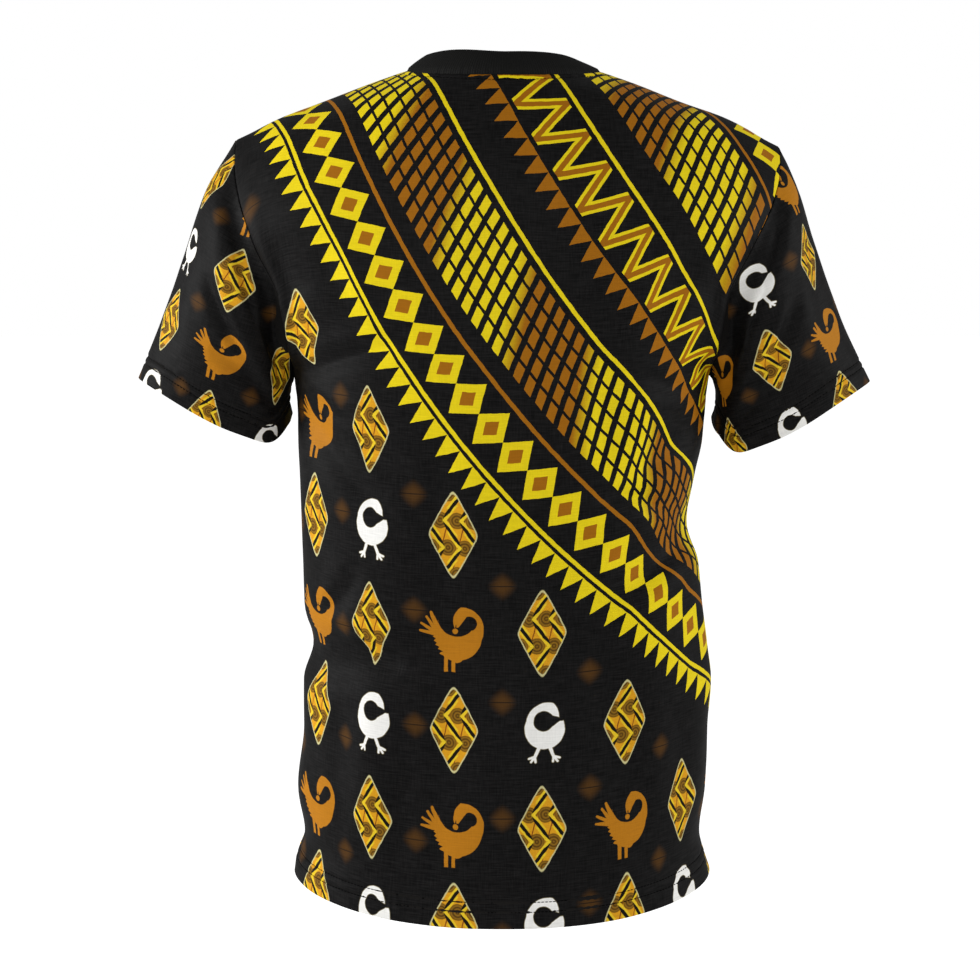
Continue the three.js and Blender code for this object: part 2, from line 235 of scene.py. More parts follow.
deep = creases_at(np.zeros(1), np.zeros(1), [(-30, 0, 30, 0, 0, 9, 3)])
print("a crease 3 mm deep presses the cloth in by", deep.round(1), "mm at its middle")

# %% [markdown]
# ## Turned edges
# No edge of a T-shirt is left raw. Side, shoulder, armhole and neck edges are turned under by a
# seam's width, and hem and cuffs by two centimetres or so, which is why they look thicker and end in a
# round fold. A fold is a half circle: every piece here carries its cloth round that half circle
# and back under itself. Where two edges cross, the depths add up, as the layers do.

# %% A turned edge
CLOTH = 0.75  # single jersey
FOLD = 0.85  # radius of a turned edge
HEM, SEAM = 24.0, 8.0
half_circle = np.linspace(0, np.pi, 5)


def turned(width):
    """Distances in from the edge and depths below the face, from the raw edge round to the face."""
    flat = np.linspace(width, FOLD * 1.8, 4)
    distance = np.concatenate([flat, FOLD * (1 - np.sin(half_circle[::-1]))])
    depth = np.concatenate([np.full(4, 2 * FOLD), FOLD * (1 - np.cos(half_circle[::-1]))])
    return distance, depth


print("hem profile", [tuple(np.round(p, 1)) for p in zip(*turned(HEM))])

# %% [markdown]
# ## The panels' grid
# Each panel is a grid: columns from seam to seam, rows from the hem up to the shoulder or down
# round the neckline. It is finest at the hem and the neck, where stitches pull the cloth into
# small puckers, and coarser in the middle, where only broad folds have to bend.

# %% The columns
NECK_HALF, NECK_DROP = 83, {"back": 9, "front": 92}
EDGE = 190.0  # how far the cloth reaches round for one step of u at the side seams
SIDE_STRIP = 3 / EDGE  # the plain columns end this much short of the seam
SHOULDER_COLUMNS, NECK_COLUMNS = 36, 92
fine = np.linspace(0, 1, 2001)
half_ridges = [form("back", sign * fine, np.full((1, len(fine)), TOP))[0, :, 0] for sign in (-1, 1)]
NECK_U = (
    np.interp(-NECK_HALF, half_ridges[0][::-1], -fine[::-1]),
    np.interp(NECK_HALF, half_ridges[1], fine),
)


def columns():
    """u of each column and how deep it lies, from the right seam to the left one."""
    distance, depth = turned(SEAM)
    edge = 1 - distance / EDGE
    angle = np.linspace(-np.pi / 2, np.pi / 2, NECK_COLUMNS + 1)
    middle = np.sin(angle) * np.where(angle < 0, -NECK_U[0], NECK_U[1])
    closing_in = np.linspace(0, 1, SHOULDER_COLUMNS + 1)[1:] ** 1.5  # finer beside the neck's corners
    right = (NECK_U[0] + closing_in * (SIDE_STRIP - 1 - NECK_U[0]))[::-1]
    left = NECK_U[1] + closing_in * (1 - SIDE_STRIP - NECK_U[1])
    u = np.concatenate([-edge, right, middle, left, edge[::-1]])
    flat = np.zeros(len(u) - 2 * len(depth))
    return u, np.concatenate([depth, flat, depth[::-1]])


def neckline(side, u):
    """How many stations above the hem each column ends: at the ridge, or at the neckline."""
    share = np.clip(u / np.where(u < 0, -NECK_U[0], NECK_U[1]), -1, 1)
    corners = form(side, np.array(NECK_U), np.full((1, 2), TOP))[0, :, 2]
    seam = corners[0] + (corners[1] - corners[0]) * (share + 1) / 2
    seam = seam - NECK_DROP[side] * np.sqrt(1 - share**2)
    low, high = np.full(len(u), UNDERARM - 2.0), np.full(len(u), float(TOP))
    for _ in range(40):  # halves the range until it is far below a hair's breadth
        middle = (low + high) / 2
        under = form(side, u, middle[None])[0, :, 2] < seam
        low, high = np.where(under, middle, low), np.where(under, high, middle)
    return np.where(np.abs(share) < 1, low, TOP)


u, u_depth = columns()
print(len(u), "columns; the neck's corners at", np.round(NECK_U, 3))

# %% [markdown]
# ## Heights along a column
# Every column is measured along the cloth, as a tape laid on it would, so that the hem has the same
# width all round and the print keeps its true size. The rows are then set in millimetres above the
# hem fold, or below the neckline.

# %% The rows, measured along the cloth
HEM_LINES = (13.8, 22.0)  # two rows of topstitch above the fold
NECK_LINE = 5.6  # one row below the neckband
FIRST_ROW, BODY_FROM = 2.4, 29  # the rows above the hem fold start here, and grow coarser there
BODY_ROWS, YOKE_ROWS = 84, 88
FINE_TOP = 15  # below the upper edge the rows are fine again
NEAR_TOP = np.array([2.6, 4.0, NECK_LINE, 7.4, 9.4, 12.0])
STEPS = np.linspace(0, TOP, 721)


def length_along(points, axis=0):
    """How far along its line each point lies."""
    steps = np.cumsum(np.linalg.norm(np.diff(points, axis=axis), axis=-1), axis)
    return np.concatenate([0 * steps.take([0], axis), steps], axis)


def each_column(wanted, known, values):
    """Reads values column by column, where every column has its own scale."""
    return np.stack([np.interp(w, k, values) for w, k in zip(wanted.T, known.T)], 1)


def measured(side, u):
    """How far up the cloth each step of each column is, and where the column ends."""
    run = length_along(form(side, u, STEPS[:, None] + np.zeros(len(u))))
    end = neckline(side, u)
    top = np.array([np.interp(e, STEPS, r) for e, r in zip(end, run.T)])
    return run, top, form(side, u, end[None])[0, :, 0]


print("back length over the shoulder blades", round(float(measured("back", np.zeros(1))[1][0])), "mm")

# %% [markdown]
# ## A panel's rows
# From the raw edge inside the hem the rows go round its fold, up through the stitches, and on to the
# underarm and the upper edge, where they follow that edge at fixed distances and go round its fold.
# The print needs one measure more: how far a point lies from the centre line, level round the cloth.

# %% The rows of one panel
def hem_rows(lines, spacing):
    """The fine rows above a hem fold, the stitches' own rows among them."""
    low = np.sort(np.r_[np.arange(FIRST_ROW, BODY_FROM - 2, spacing), lines])
    return low, [len(turned(HEM)[0]) + int(np.abs(low - line).argmin()) for line in lines]


def lay(side, u):
    """A panel's base: points, stations, flat coordinates, and how deep each row lies."""
    run, top, end_x = measured(side, u)
    _, edge_v, edge_x = measured(side, np.linspace(-1, 1, 1401))
    apart = np.abs(end_x[:, None] - edge_x)

    def inset(far):
        """The line that lies far below the upper edge, measured square to that edge."""
        near = np.where(apart <= far, edge_v - np.sqrt(np.clip(far**2 - apart**2, 0, None)), np.inf)
        return np.minimum(near.min(1), top - far)

    arm = run[np.searchsorted(STEPS, UNDERARM)]
    (hem, hem_depth), (seam, seam_depth) = turned(HEM), turned(SEAM)
    low, hem_lines = hem_rows(HEM_LINES, 1.7)
    v = np.concatenate([
        np.r_[hem, low][:, None] + 0 * top,
        BODY_FROM + np.linspace(0, 1, BODY_ROWS)[:, None] * (arm - BODY_FROM),
        arm + np.linspace(0, 1, YOKE_ROWS + 1)[1:, None] * (inset(FINE_TOP) - arm),
        [inset(far) for far in np.r_[NEAR_TOP[::-1], seam[::-1]]],
    ])
    depth = np.r_[hem_depth, np.zeros(len(v) - len(hem) - len(seam)), seam_depth[::-1]]
    t = each_column(v, run, STEPS)
    turned_up = len(hem) - 3  # the rows inside the fold carry the print on, past the edge
    flat_v = np.concatenate([-hem[:turned_up, None] + 0 * top, v[turned_up:]])
    neck_row = len(v) - len(seam) - 1 - int(np.searchsorted(NEAR_TOP, NECK_LINE))
    far_off = np.full(len(v) - len(seam) - len(NEAR_TOP), 99.0)
    away = np.r_[far_off, NEAR_TOP[::-1], seam[::-1]]
    return form(side, u, t), t, flat_v, depth, {"hem": hem_lines, "neck": neck_row}, away


def widths(side, u, t, count=301):
    """How far each point lies from the centre line, measured level round the cloth."""
    wide = np.linspace(-1, 1, count)
    run = length_along(form(side, wide, STEPS[:, None] + np.zeros(count)), axis=1)
    run -= run[:, count // 2, None]
    at = np.stack([np.interp(u, wide, line) for line in run])
    return np.stack([np.interp(t[:, n], STEPS, at[:, n]) for n in range(len(u))], 1)


print(len(lay("back", np.zeros(1))[2]), "rows to a panel")

# %% [markdown]
# ## The folds of this shirt
# The back is quiet: a hollow along the spine, broad swells over the shoulder blades, drag lines that
# run in from both armpits, a sharp break at each side of the waist, and a slight flare above the
# hem. The front isn't seen in the same way, so it gets folds of the same kinds in other places.

# %% Tables of folds and creases
ROUNDS = [(192, -43, 26, 22, -24, -1.5), (-194, -45, 32, 22, 24, -3)]
FOLDS = {
    "back": ROUNDS + [
        (132, -318, 62, 15, 30, 6), (-128, -330, 70, 17, -48, 6), (-128, -412, 62, 18, -28, 7),
        (120, -508, 66, 18, -12, 7), (-96, -560, 110, 26, 74, 5), (60, -600, 120, 28, 96, 5),
    ],
    "front": ROUNDS + [
        (120, -305, 66, 16, 36, 6), (-122, -322, 60, 16, -30, 6), (-118, -404, 58, 17, -16, 6),
        (116, -514, 70, 19, -20, 7), (-64, -600, 120, 28, 84, 5), (84, -628, 90, 24, 100, 5),
    ],
}
CREASES = {
    "back": [
        (172, -262, 84, -238, -6, 8, 2.6), (172, -286, 96, -372, 10, 10, 3.0),
        (170, -276, 120, -300, 4, 6, 1.8), (-170, -282, -92, -262, 5, 8, 2.2),
        (-168, -300, -110, -344, -7, 9, 2.4), (-158, -386, -62, -362, 9, 8, 3.2),
        (-160, -402, -84, -446, -8, 10, 2.6), (164, -488, 84, -512, -7, 9, 2.8),
        (164, -474, 124, -420, 6, 8, 2.0), (134, -530, 138, -668, 7, 13, 2.6),
        (-152, -540, -146, -650, -6, 12, 2.2), (52, -300, 40, -470, 8, 16, 1.6),
        (-70, -214, -84, -352, -6, 15, 2.0), (24, -60, -34, -58, -5, 8, 0.8),
        (86, -560, 96, -680, -4, 11, 1.4), (-40, -590, -34, -690, 5, 12, 1.4),
        (150, -150, 118, -214, 5, 11, 1.4), (-158, -142, -122, -214, -6, 12, 1.4),
    ],
    "front": [
        (168, -268, 88, -246, -7, 9, 2.6), (166, -292, 104, -350, 8, 10, 2.6),
        (-168, -272, -84, -240, 8, 9, 2.4), (-166, -300, -98, -356, -8, 10, 2.8),
        (-160, -396, -88, -388, 8, 9, 2.6), (158, -492, 78, -508, -8, 10, 2.8),
        (-128, -520, -132, -672, -7, 13, 2.4), (112, -540, 104, -668, 6, 12, 2.2),
        (20, -560, 30, -690, 7, 14, 1.6), (-44, -470, -52, -600, -6, 14, 1.4),
        (146, -160, 110, -226, 6, 12, 1.4), (-148, -158, -108, -220, -6, 12, 1.4),
    ],
}
print(sum(map(len, CREASES.values())), "creases on the panels")

# %% [markdown]
# ## What a row of stitches does
# A thread holds the cloth a little shorter than it wants to be. So the cloth along it rises and sinks
# in small tucks, uneven in length, and the row itself lies in a shallow valley. Tucks from several
# waves of unlike lengths never repeat within the shirt, where one wave would look like a comb.

# %% Puckers along stitching
def puckers(run, off, reach, seed):
    """Small uneven tucks along stitches: run is the way along them, off the distance from them."""
    dice = np.random.default_rng(seed)
    wave = sum(
        size * np.sin(2 * np.pi * run / length + dice.uniform(0, 6.28))
        for size, length in ((0.5, 7.3), (0.35, 11.9), (0.3, 19.7), (0.3, 5.6))
    )
    return 0.34 * wave * np.exp(-((off / reach) ** 2))


def groove(off, deep=0.95, half=1.2):
    """The valley that a row of stitches pulls into the cloth, or any bell curve of that form."""
    return deep * np.exp(-((off / half) ** 2))


print("tucks beside a thread, mm:", puckers(np.arange(0, 20, 4.0), 0, 9, 12).round(2))

# %% [markdown]
# ## From a grid of numbers to cloth
# Blender's grid primitive is a flat sheet of squares, which is just what cloth is before it is worn.
# It is added with as many squares as the piece has, and its corners are then laid on the form. Two
# maps go with it: one holds the flat pattern in millimetres, for the print, and the other spreads the
# same sheet over a square. Solidify then gives the sheet its thickness inwards, and puts the plain
# reverse of the knit on the inside.

# %% A sheet of cloth from its grid
def sheet_mesh(name, points, print_x, print_y, tube=False):
    """Lays a grid primitive on points (rows x columns, mm) and gives it the print's map."""
    rows, across = points.shape[:2]
    print(name, "has", rows, "rows and", across, "columns")
    bpy.ops.mesh.primitive_grid_add(x_subdivisions=across - 1, y_subdivisions=rows - 1, size=1)
    piece = bpy.context.object
    piece.name = piece.data.name = name
    mesh = piece.data
    mesh.vertices.foreach_set("co", (points / 1000).astype(np.float32).ravel())
    corners = np.empty(len(mesh.loops), int)
    mesh.loops.foreach_get("vertex_index", corners)
    steps_x = np.linalg.norm(np.diff(points, axis=1), axis=2).mean(0)
    steps_y = np.linalg.norm(np.diff(points, axis=0), axis=2).mean(1)
    square_x = np.r_[0, np.cumsum(steps_x)] / steps_x.sum() + np.zeros((rows, 1))
    square_y = (np.r_[0, np.cumsum(steps_y)] / steps_y.sum())[:, None] + np.zeros(across)
    mesh.uv_layers.remove(mesh.uv_layers[0])
    for title, x, y in (("OFBake", square_x, square_y), ("Print", print_x, print_y)):
        layer = mesh.uv_layers.new(name=title)
        places = np.stack([x.ravel(), y.ravel()], -1)[corners]
        layer.data.foreach_set("uv", places.astype(np.float32).ravel())
    if tube:
        bpy.ops.object.mode_set(mode="EDIT")
        bpy.ops.mesh.select_all(action="SELECT")
        bpy.ops.mesh.remove_doubles(threshold=1e-5)
        bpy.ops.object.mode_set(mode="OBJECT")
    bpy.ops.object.shade_smooth()
    return piece


def thicken(piece, thickness):
    """Gives the sheet its thickness inwards; the inside takes the second material."""
    solid = piece.modifiers.new("thickness", "SOLIDIFY")
    solid.thickness, solid.offset = thickness / 1000, -1
    solid.material_offset = 1
    bpy.context.view_layer.objects.active = piece
    bpy.ops.object.modifier_apply(modifier=solid.name)
    triangles = sum(len(p.vertices) - 2 for p in piece.data.polygons)
    print(piece.name, len(piece.data.vertices), "points,", triangles, "triangles")

# %% [markdown]
# ## The two panels
# The panel's grid is laid on the form, pressed in by its folds and creases, pulled in where stitches
# run, and last moved in by the depth of each turned layer. The seams hold the cloth, so all folds
# fade out towards them.

# %% Back and front panels
GAP = 0.15  # half the gap between the pieces at a seam
FOLDS_FADE, CREASES_FADE, NECK_FADE = 0.16, 0.05, 26  # to the sides, in u, and to the neck, in mm
UNREST = 0.9
ARM_SWELL, SWELL_IN, SWELL_WIDE = 6, 11, 8  # the cloth swells over the foot of each armhole,
ARM_FOOT, FOOT_HIGH = -215, 62  # which is this high and so far up and down
# how much wider than the cloth the print lies, by the distance from the centre line, and up to where
PRINT_WIDER, WIDER_TO, WIDER_FADE = ([0, 110, 174, 251], [0, 0, 17, 11]), 620, 160
panels, laid = {}, {}
for side, out, seed in (("back", 1, 11), ("front", -1, 23)):
    cols, col_depth = u[::-out], u_depth[::-out]
    base, t, flat_v, row_depth, rows, away = lay(side, cols)
    level, facing = widths(side, cols, t), normals(side, cols, t)
    x, z = base[..., 0], base[..., 2]
    to_side = 1 - np.abs(cols)
    held = np.clip(to_side / FOLDS_FADE, 0, 1)
    held = held**2 * (3 - 2 * held)
    near = np.clip(to_side / CREASES_FADE, 0, 1)
    neck = np.clip((flat_v.max(0) - flat_v) / NECK_FADE, 0, 1)
    high = np.clip(flat_v, 0, None)
    press = folds_at(x, z, FOLDS[side]) * held + creases_at(x, z, CREASES[side]) * near * neck
    press += UNREST * unrest(level, flat_v, seed) * held * neck
    press += puckers(level, high - 17, 9, seed + 1) * near + sum(groove(high - h) for h in HEM_LINES)
    in_neck = np.abs(cols) <= max(np.abs(NECK_U))
    away = away[:, None]
    press += (puckers(level, away - 5, 5, seed + 2) + groove(away - NECK_LINE)) * in_neck
    swell = groove(z - ARM_FOOT, ARM_SWELL, FOOT_HIGH)
    press -= swell * groove(to_side * EDGE - SWELL_IN, 1, SWELL_WIDE)
    points = base - facing * (press + row_depth[:, None] + col_depth)[..., None]
    points[..., 1] += out * GAP
    wider = np.interp(np.abs(level), *PRINT_WIDER) * np.clip((WIDER_TO - flat_v) / WIDER_FADE, 0, 1)
    print_x = np.sign(level) * (np.abs(level) + wider) * -out
    panels[side] = sheet_mesh(f"{side}_panel_cloth", points, print_x, flat_v)
    laid[side] = dict(points=points, facing=facing, rows=rows, face=col_depth == 0)

# %% [markdown]
# ## The sleeves
# A sleeve starts at the armhole that the two panels leave, as an oval leaning against the body, and
# ends in a rounder ring at the cuff. It is one piece of cloth, closed by a seam under the arm.

# %% Rings of the sleeves and their creases
# ring: outer x and z, under x and z, middle depth, swell behind and before, droop
SLEEVES = {
    "left": [(254, -97, 185, -271, 0, 66, 64, 0), (275, -148, 187, -280, -4, 60, 57, 4),
             (299, -212, 188, -290, -10, 54, 52, 11), (324, -268, 187, -300, -18, 51, 49, 20)],
    "right": [(-253, -99, -186, -273, 0, 66, 64, 0), (-272, -150, -188, -282, -4, 60, 57, 5),
              (-297, -214, -188, -293, -10, 54, 52, 13), (-326, -271, -186, -303, -18, 51, 49, 24)],
}
# creases run round from the outer line, behind positive, and up from the cuff
SLEEVE_CREASES = {
    "left": [
        (150, 60, 70, 120, 8, 9, 3.2), (160, 36, 84, 62, -7, 9, 3.0), (120, 150, 62, 196, 6, 9, 2.2),
        (150, 96, 104, 148, -5, 8, 2.4), (46, 30, 30, 130, 6, 12, 1.6), (-150, 50, -72, 110, 8, 9, 3.0),
        (-150, 84, -90, 150, 6, 9, 2.4), (-40, 40, -52, 140, 5, 12, 1.5),
    ],
    "right": [
        (150, 56, 76, 104, 8, 9, 3.2), (158, 30, 92, 44, -6, 9, 2.6), (128, 136, 66, 190, 7, 9, 2.4),
        (152, 90, 110, 132, -5, 8, 2.2), (40, 40, 34, 150, -6, 12, 1.6), (-150, 44, -76, 96, 8, 9, 3.0),
        (-146, 90, -84, 160, 6, 9, 2.4), (-44, 30, -40, 120, 5, 12, 1.5),
    ],
}
CUFF_LINES = (15.2, 21.6)
# how the print lies: across = shift + so much round the arm + so much up it, and up likewise
PRINT_ON_SLEEVE = {
    "left": ((-315.7, 1.26, 0.13), (-3.2, 0.08, 1.32)),
    "right": ((-271, 1.32, -0.145), (-4.0, -0.07, 1.283)),
}
print(sum(map(len, SLEEVE_CREASES.values())), "creases on the sleeves")

# %% [markdown]
# ## Where the sleeve is sewn on
# Each panel's side edge above the underarm is half of the armhole. Points are spaced evenly up both
# halves, as a machinist eases a sleeve in, and the sleeve's first ring takes them over. The further
# rings are ovals, each described by its outer and under end.

# %% The armhole's edge and the sleeve's rings
HALF_ROUND = 76  # columns from under the arm to its outside
EASE = 0.3  # how far the sleeve stands off the armhole's edge
CORNER_AT, CORNER_WIDE, CORNER_DROOP = 0.72, 0.28, 0.25  # the cuff hangs lowest at its back corner


def armhole(side, end):
    """Evenly spaced points up one panel's armhole, with the body's normals there."""
    t = np.linspace(UNDERARM, TOP, 400)[:, None]
    run = length_along(form(side, end, t)[:, 0])
    t = np.interp(np.linspace(0, run[-1], HALF_ROUND + 1), run, t[:, 0])[:, None]
    edge = form(side, end, t)[:, 0]
    edge[:, 1] += GAP if side == "back" else -GAP
    return edge, normals(side, end, t)[:, 0]


def sleeve_rings(name):
    """The sleeve's stations (S x N x 3), and how far round each column is, from under the arm."""
    end = np.array([1.0 if name == "left" else -1.0])
    (behind, out_b), (before, out_f) = armhole("back", end), armhole("front", end)
    edge = np.concatenate([behind, before[::-1][1:]])
    out = np.concatenate([out_b, out_f[::-1][1:]])
    turn = np.linspace(0, 2 * np.pi, 2 * HALF_ROUND + 1)
    ahead = np.roll(edge[:-1], -1, axis=0) - np.roll(edge[:-1], 1, axis=0)
    off = unit(np.cross(out[:-1], ahead) * end)
    stations = [edge + EASE * np.concatenate([off, off[:1]])]
    sine, cosine = np.sin(turn), np.cos(turn)
    for outer_x, outer_z, under_x, under_z, middle, back, front, droop in SLEEVES[name]:
        share = (1 - cosine) / 2
        hang = sine**2 / np.sqrt(sine**2 + 0.03) * (1 + cosine)
        hang = hang + groove(turn - CORNER_AT, CORNER_DROOP, CORNER_WIDE)
        stations.append(np.stack([
            under_x + (outer_x - under_x) * share,
            middle + np.where(sine > 0, back, front) * sine,
            under_z + (outer_z - under_z) * share - droop * hang,
        ], -1))
    return np.stack(stations), turn


print("armhole, mm round:", round(2 * float(length_along(sleeve_rings("left")[0][0])[HALF_ROUND])))

# %% [markdown]
# ## The sleeves' cloth
# The sleeve is measured from the cuff up, like the panels from the hem, and pressed in by its creases
# and its stitches. Its lower half sinks in beside the armhole, where a hanging arm gathers the cloth.
# The print runs true to the sleeve's own axis: how far round it a point lies, and how far up it.

# %% Both sleeves
SLEEVE_ROWS, HEAD_ROWS, HEAD_FROM = 60, [6.5, 4.0, 2.2], 9
SLEEVE_HELD = 14  # the creases fade out this far below the armhole
TUCK, TUCK_AT = 15, 11  # how deep the cloth sinks in beside the armhole, and how far below it
for name, seed in (("left", 31), ("right", 47)):
    stations, turn = sleeve_rings(name)
    if name == "left":
        stations, turn = stations[:, ::-1], turn[::-1]
    last = len(stations) - 1
    steps = np.linspace(0, last, 401)
    run = length_along(along(stations, steps[::-1, None] + np.zeros(len(turn))))  # from the cuff up
    top = run[-1]
    (hem, hem_depth), (seam, seam_depth) = turned(HEM), turned(SEAM)
    low, rows = hem_rows(CUFF_LINES, 1.8)
    w = np.concatenate([
        np.r_[hem, low][:, None] + 0 * top,
        BODY_FROM + np.linspace(0, 1, SLEEVE_ROWS)[:, None] * (top - HEAD_FROM - BODY_FROM),
        top - np.r_[HEAD_ROWS, seam[::-1]][:, None],
    ])
    row_depth = np.r_[hem_depth, np.zeros(len(w) - len(hem) - len(seam)), seam_depth[::-1]]
    t = last - each_column(w, run, steps)
    base = along(stations, t)
    step = 2e-3
    dt = along(stations, np.maximum(t - step, 0)) - along(stations, np.minimum(t + step, last))
    wrap = np.concatenate([base[:, -2:-1], base, base[:, 1:2]], 1)
    facing = unit(np.cross(wrap[:, 2:] - wrap[:, :-2], dt))
    level, middle, edge = length_along(base, axis=1), len(turn) // 2, len(hem)
    level -= level[:, middle, None]
    centre = base[edge, :-1].mean(0)
    axis = unit(stations[0, :-1].mean(0) - centre)
    outward = unit(base[edge, middle] - centre)
    from_axis = base - centre
    bearing = np.arctan2(from_axis @ np.cross(axis, outward), from_axis @ outward)
    bearing = np.unwrap(bearing, axis=1)
    bearing -= 2 * np.pi * np.round(bearing[:, middle, None] / (2 * np.pi))
    order = np.argsort(bearing[edge])
    round_it = np.interp(bearing, bearing[edge, order], level[edge, order])
    up_it = from_axis @ axis
    up_it[: edge - 3] = -hem[: edge - 3, None]
    high = np.where(np.arange(len(w))[:, None] < edge - 3, 0, w)
    below = top - w
    behind = level if name == "left" else -level
    press = creases_at(behind, high, SLEEVE_CREASES[name]) + UNREST * unrest(level, high, seed)
    press *= np.clip(below / SLEEVE_HELD, 0, 1)
    press += puckers(level, high - 18, 9, seed + 1) + sum(groove(high - h) for h in CUFF_LINES)
    press += 1.6 * puckers(level, below, 9, seed + 2)
    press += groove(level.max(1, keepdims=True) - np.abs(level), 0.8, 1.8)  # the seam under the arm
    sine = np.abs(np.sin(turn))
    tuck = groove(np.where(np.cos(turn) > 0, sine - 0.72, 1.28 - sine), TUCK, 0.34)
    press += tuck * (below / TUCK_AT) * np.exp(1 - below / TUCK_AT)
    press[:, -1] = press[:, 0]
    points = base - facing * (press + row_depth[:, None])[..., None]
    points[:, -1] = points[:, 0]
    print_x, print_y = (c + a * round_it + b * up_it for c, a, b in PRINT_ON_SLEEVE[name])
    panels[name] = sheet_mesh(f"{name}_sleeve_cloth", points, print_x, print_y, tube=True)
    laid[name] = dict(points=points, facing=facing, rows={"hem": rows}, face=slice(None))
    print("cuff", round(np.ptp(level[edge])), "mm round, outside", round(top.max()), "mm long")

# %% [markdown]
# ## The neckband
# The band is a strip of rib knit, folded lengthways and sewn on by both its edges, a little shorter
# than the neckline, so it pulls up and inwards. Rib is knitted in ridges called wales. Real ones are
# about 1.5 mm apart, and here they are 2.2 mm, so that they still show from a distance. They are
# fine enough for a bump, but as shape they also show on the fold's outline.

# %% The neckband's seat on the neckline
BAND, BAND_FOLD, WALE = 21.0, 1.05, 2.2
BAND_LEAN = {"back": (18, 8, 1.5), "side": (11.5, 19, 0.5), "front": (17, 10, 1)}  # up, inwards, bow
# how much higher its top edge stands than an even one, from the right side to the left: x, up
BAND_TOP = [(-83, -3.2), (-76, -1.4), (-68, 1.0), (-55, 1.8), (-40, 1.5), (-20, 0.6), (-5, -0.2),
            (8, 0.0), (20, 0.8), (34, 2.4), (48, 3.8), (60, 4.5), (70, 4.0), (78, 3.0), (83, 2.0)]


def at_lengths(where, run, values):
    return np.stack([np.interp(where, run, column) for column in values.T], -1)


angle = np.linspace(0, 2 * np.pi, 1201)
halves = []
for side, part in (("back", angle <= np.pi), ("front", angle > np.pi)):
    across = np.cos(angle[part])
    at = across * np.where(across < 0, -NECK_U[0], NECK_U[1])
    t = neckline(side, at)[None]
    seat = form(side, at, t)[0]
    seat[:, 1] += GAP if side == "back" else -GAP
    halves.append((seat, normals(side, at, t)[0]))
seat, out = (np.concatenate(both) for both in zip(*halves))
run = length_along(seat)
WALES = round(run[-1] / WALE)
even = np.linspace(0, run[-1], 4 * WALES + 1)
angle, seat, out = np.interp(even, run, angle), at_lengths(even, run, seat), at_lengths(even, run, out)
print("neckline", round(run[-1]), "mm round,", WALES, "wales")

# %% [markdown]
# ### Its rise, its fold and its wales
# From its seat the band rises along a line that leans inwards, least at the middle of the back and
# most at the shoulders, and bows a little. At the top it goes round a small half circle and comes
# down again inside. The wales are waves of four columns each.

# %% The band leans inwards and folds back inside
WALE_DEEP, BAND_PULL, JOIN = 0.16, 0.7, 25
behind, sine = (angle <= np.pi)[:, None], np.abs(np.sin(angle))[:, None]
lean = sine * np.where(behind, BAND_LEAN["back"], BAND_LEAN["front"]) + (1 - sine) * BAND_LEAN["side"]
deepest = [abs(seat[np.abs(angle - at).argmin(), 1]) for at in (np.pi / 2, 3 * np.pi / 2)]
reach = np.where(behind[:, 0], deepest[0] - BAND_LEAN["back"][1], deepest[1] - BAND_LEAN["front"][1])
half = NECK_HALF - BAND_LEAN["side"][1]
oval = np.stack([half * np.cos(angle), reach * np.sin(angle), seat[:, 2] + lean[:, 0]], 1)
way = unit(oval - seat)
fold_at, circle = 1 - BAND_FOLD / BAND, np.linspace(0, np.pi, 6)[1:]
front_rise = np.r_[0.0, np.linspace(0.03, fold_at, 9)]
over_rise = 1 - (1 - np.sin(circle)) * BAND_FOLD / BAND
rise = np.r_[front_rise, over_rise, np.linspace(fold_at, 0.03, 7)[1:]][:, None]
deep = np.r_[0 * front_rise, BAND_FOLD * (1 - np.cos(circle)), np.full(6, 2 * BAND_FOLD)][:, None]
square = np.cross(way, np.roll(seat, -1, 0) - np.roll(seat, 1, 0))
square[[0, -1]] = square[1]
square = unit(square)
square *= np.sign((square * out).sum(1, keepdims=True))
bow = lean[:, 2] * 4 * rise * (1 - rise)
uneven = np.interp(seat[:, 0], *zip(*BAND_TOP))
even_out = np.hanning(81) / np.hanning(81).sum()
uneven = np.convolve(np.r_[uneven[-41:-1], uneven, uneven[1:41]], even_out, "valid")
wale = WALE_DEEP * (1 - np.cos(2 * np.pi * np.arange(len(even)) / 4))
wale = wale * np.clip(2.2 - deep / BAND_FOLD, 0.2, 1)
high = rise * BAND
pull = puckers(even + 0 * high, high, 5, 61)
pull = pull - pull[:, :1] * groove(even, 1, JOIN) - pull[:, -1:] * groove(even[-1] - even, 1, JOIN)
inwards = deep + wale + pull * BAND_PULL + groove(high, 1.3, 1.6)
points = seat + way * high[..., None] + out * bow[..., None] - square * inwards[..., None]
points[..., 2] += rise * uneven
points[:, -1] = points[:, 0]
points, flat = points[:, ::-1], even[-1] - even[::-1]
panels["band"] = sheet_mesh("neck_rib_cloth", points, flat + 0 * high, high + 0 * flat, tube=True)

# %% [markdown]
# ## One function for material nodes
# A material is a small network. One function adds any kind of node to the network in hand, sets it
# up, and links or fills its inputs, so a network reads from the first line to the last. What a maths
# node does follows its kind after a dot. Colours are written as they look on a screen, and one
# function turns them into the light they stand for.

# %% Helpers for materials
def light(hex_colour):
    """An sRGB hex colour as linear values with alpha."""
    parts = [int(hex_colour[i : i + 2], 16) / 255 for i in (1, 3, 5)]
    return [p / 12.92 if p <= 0.04045 else ((p + 0.055) / 1.055) ** 2.4 for p in parts] + [1.0]


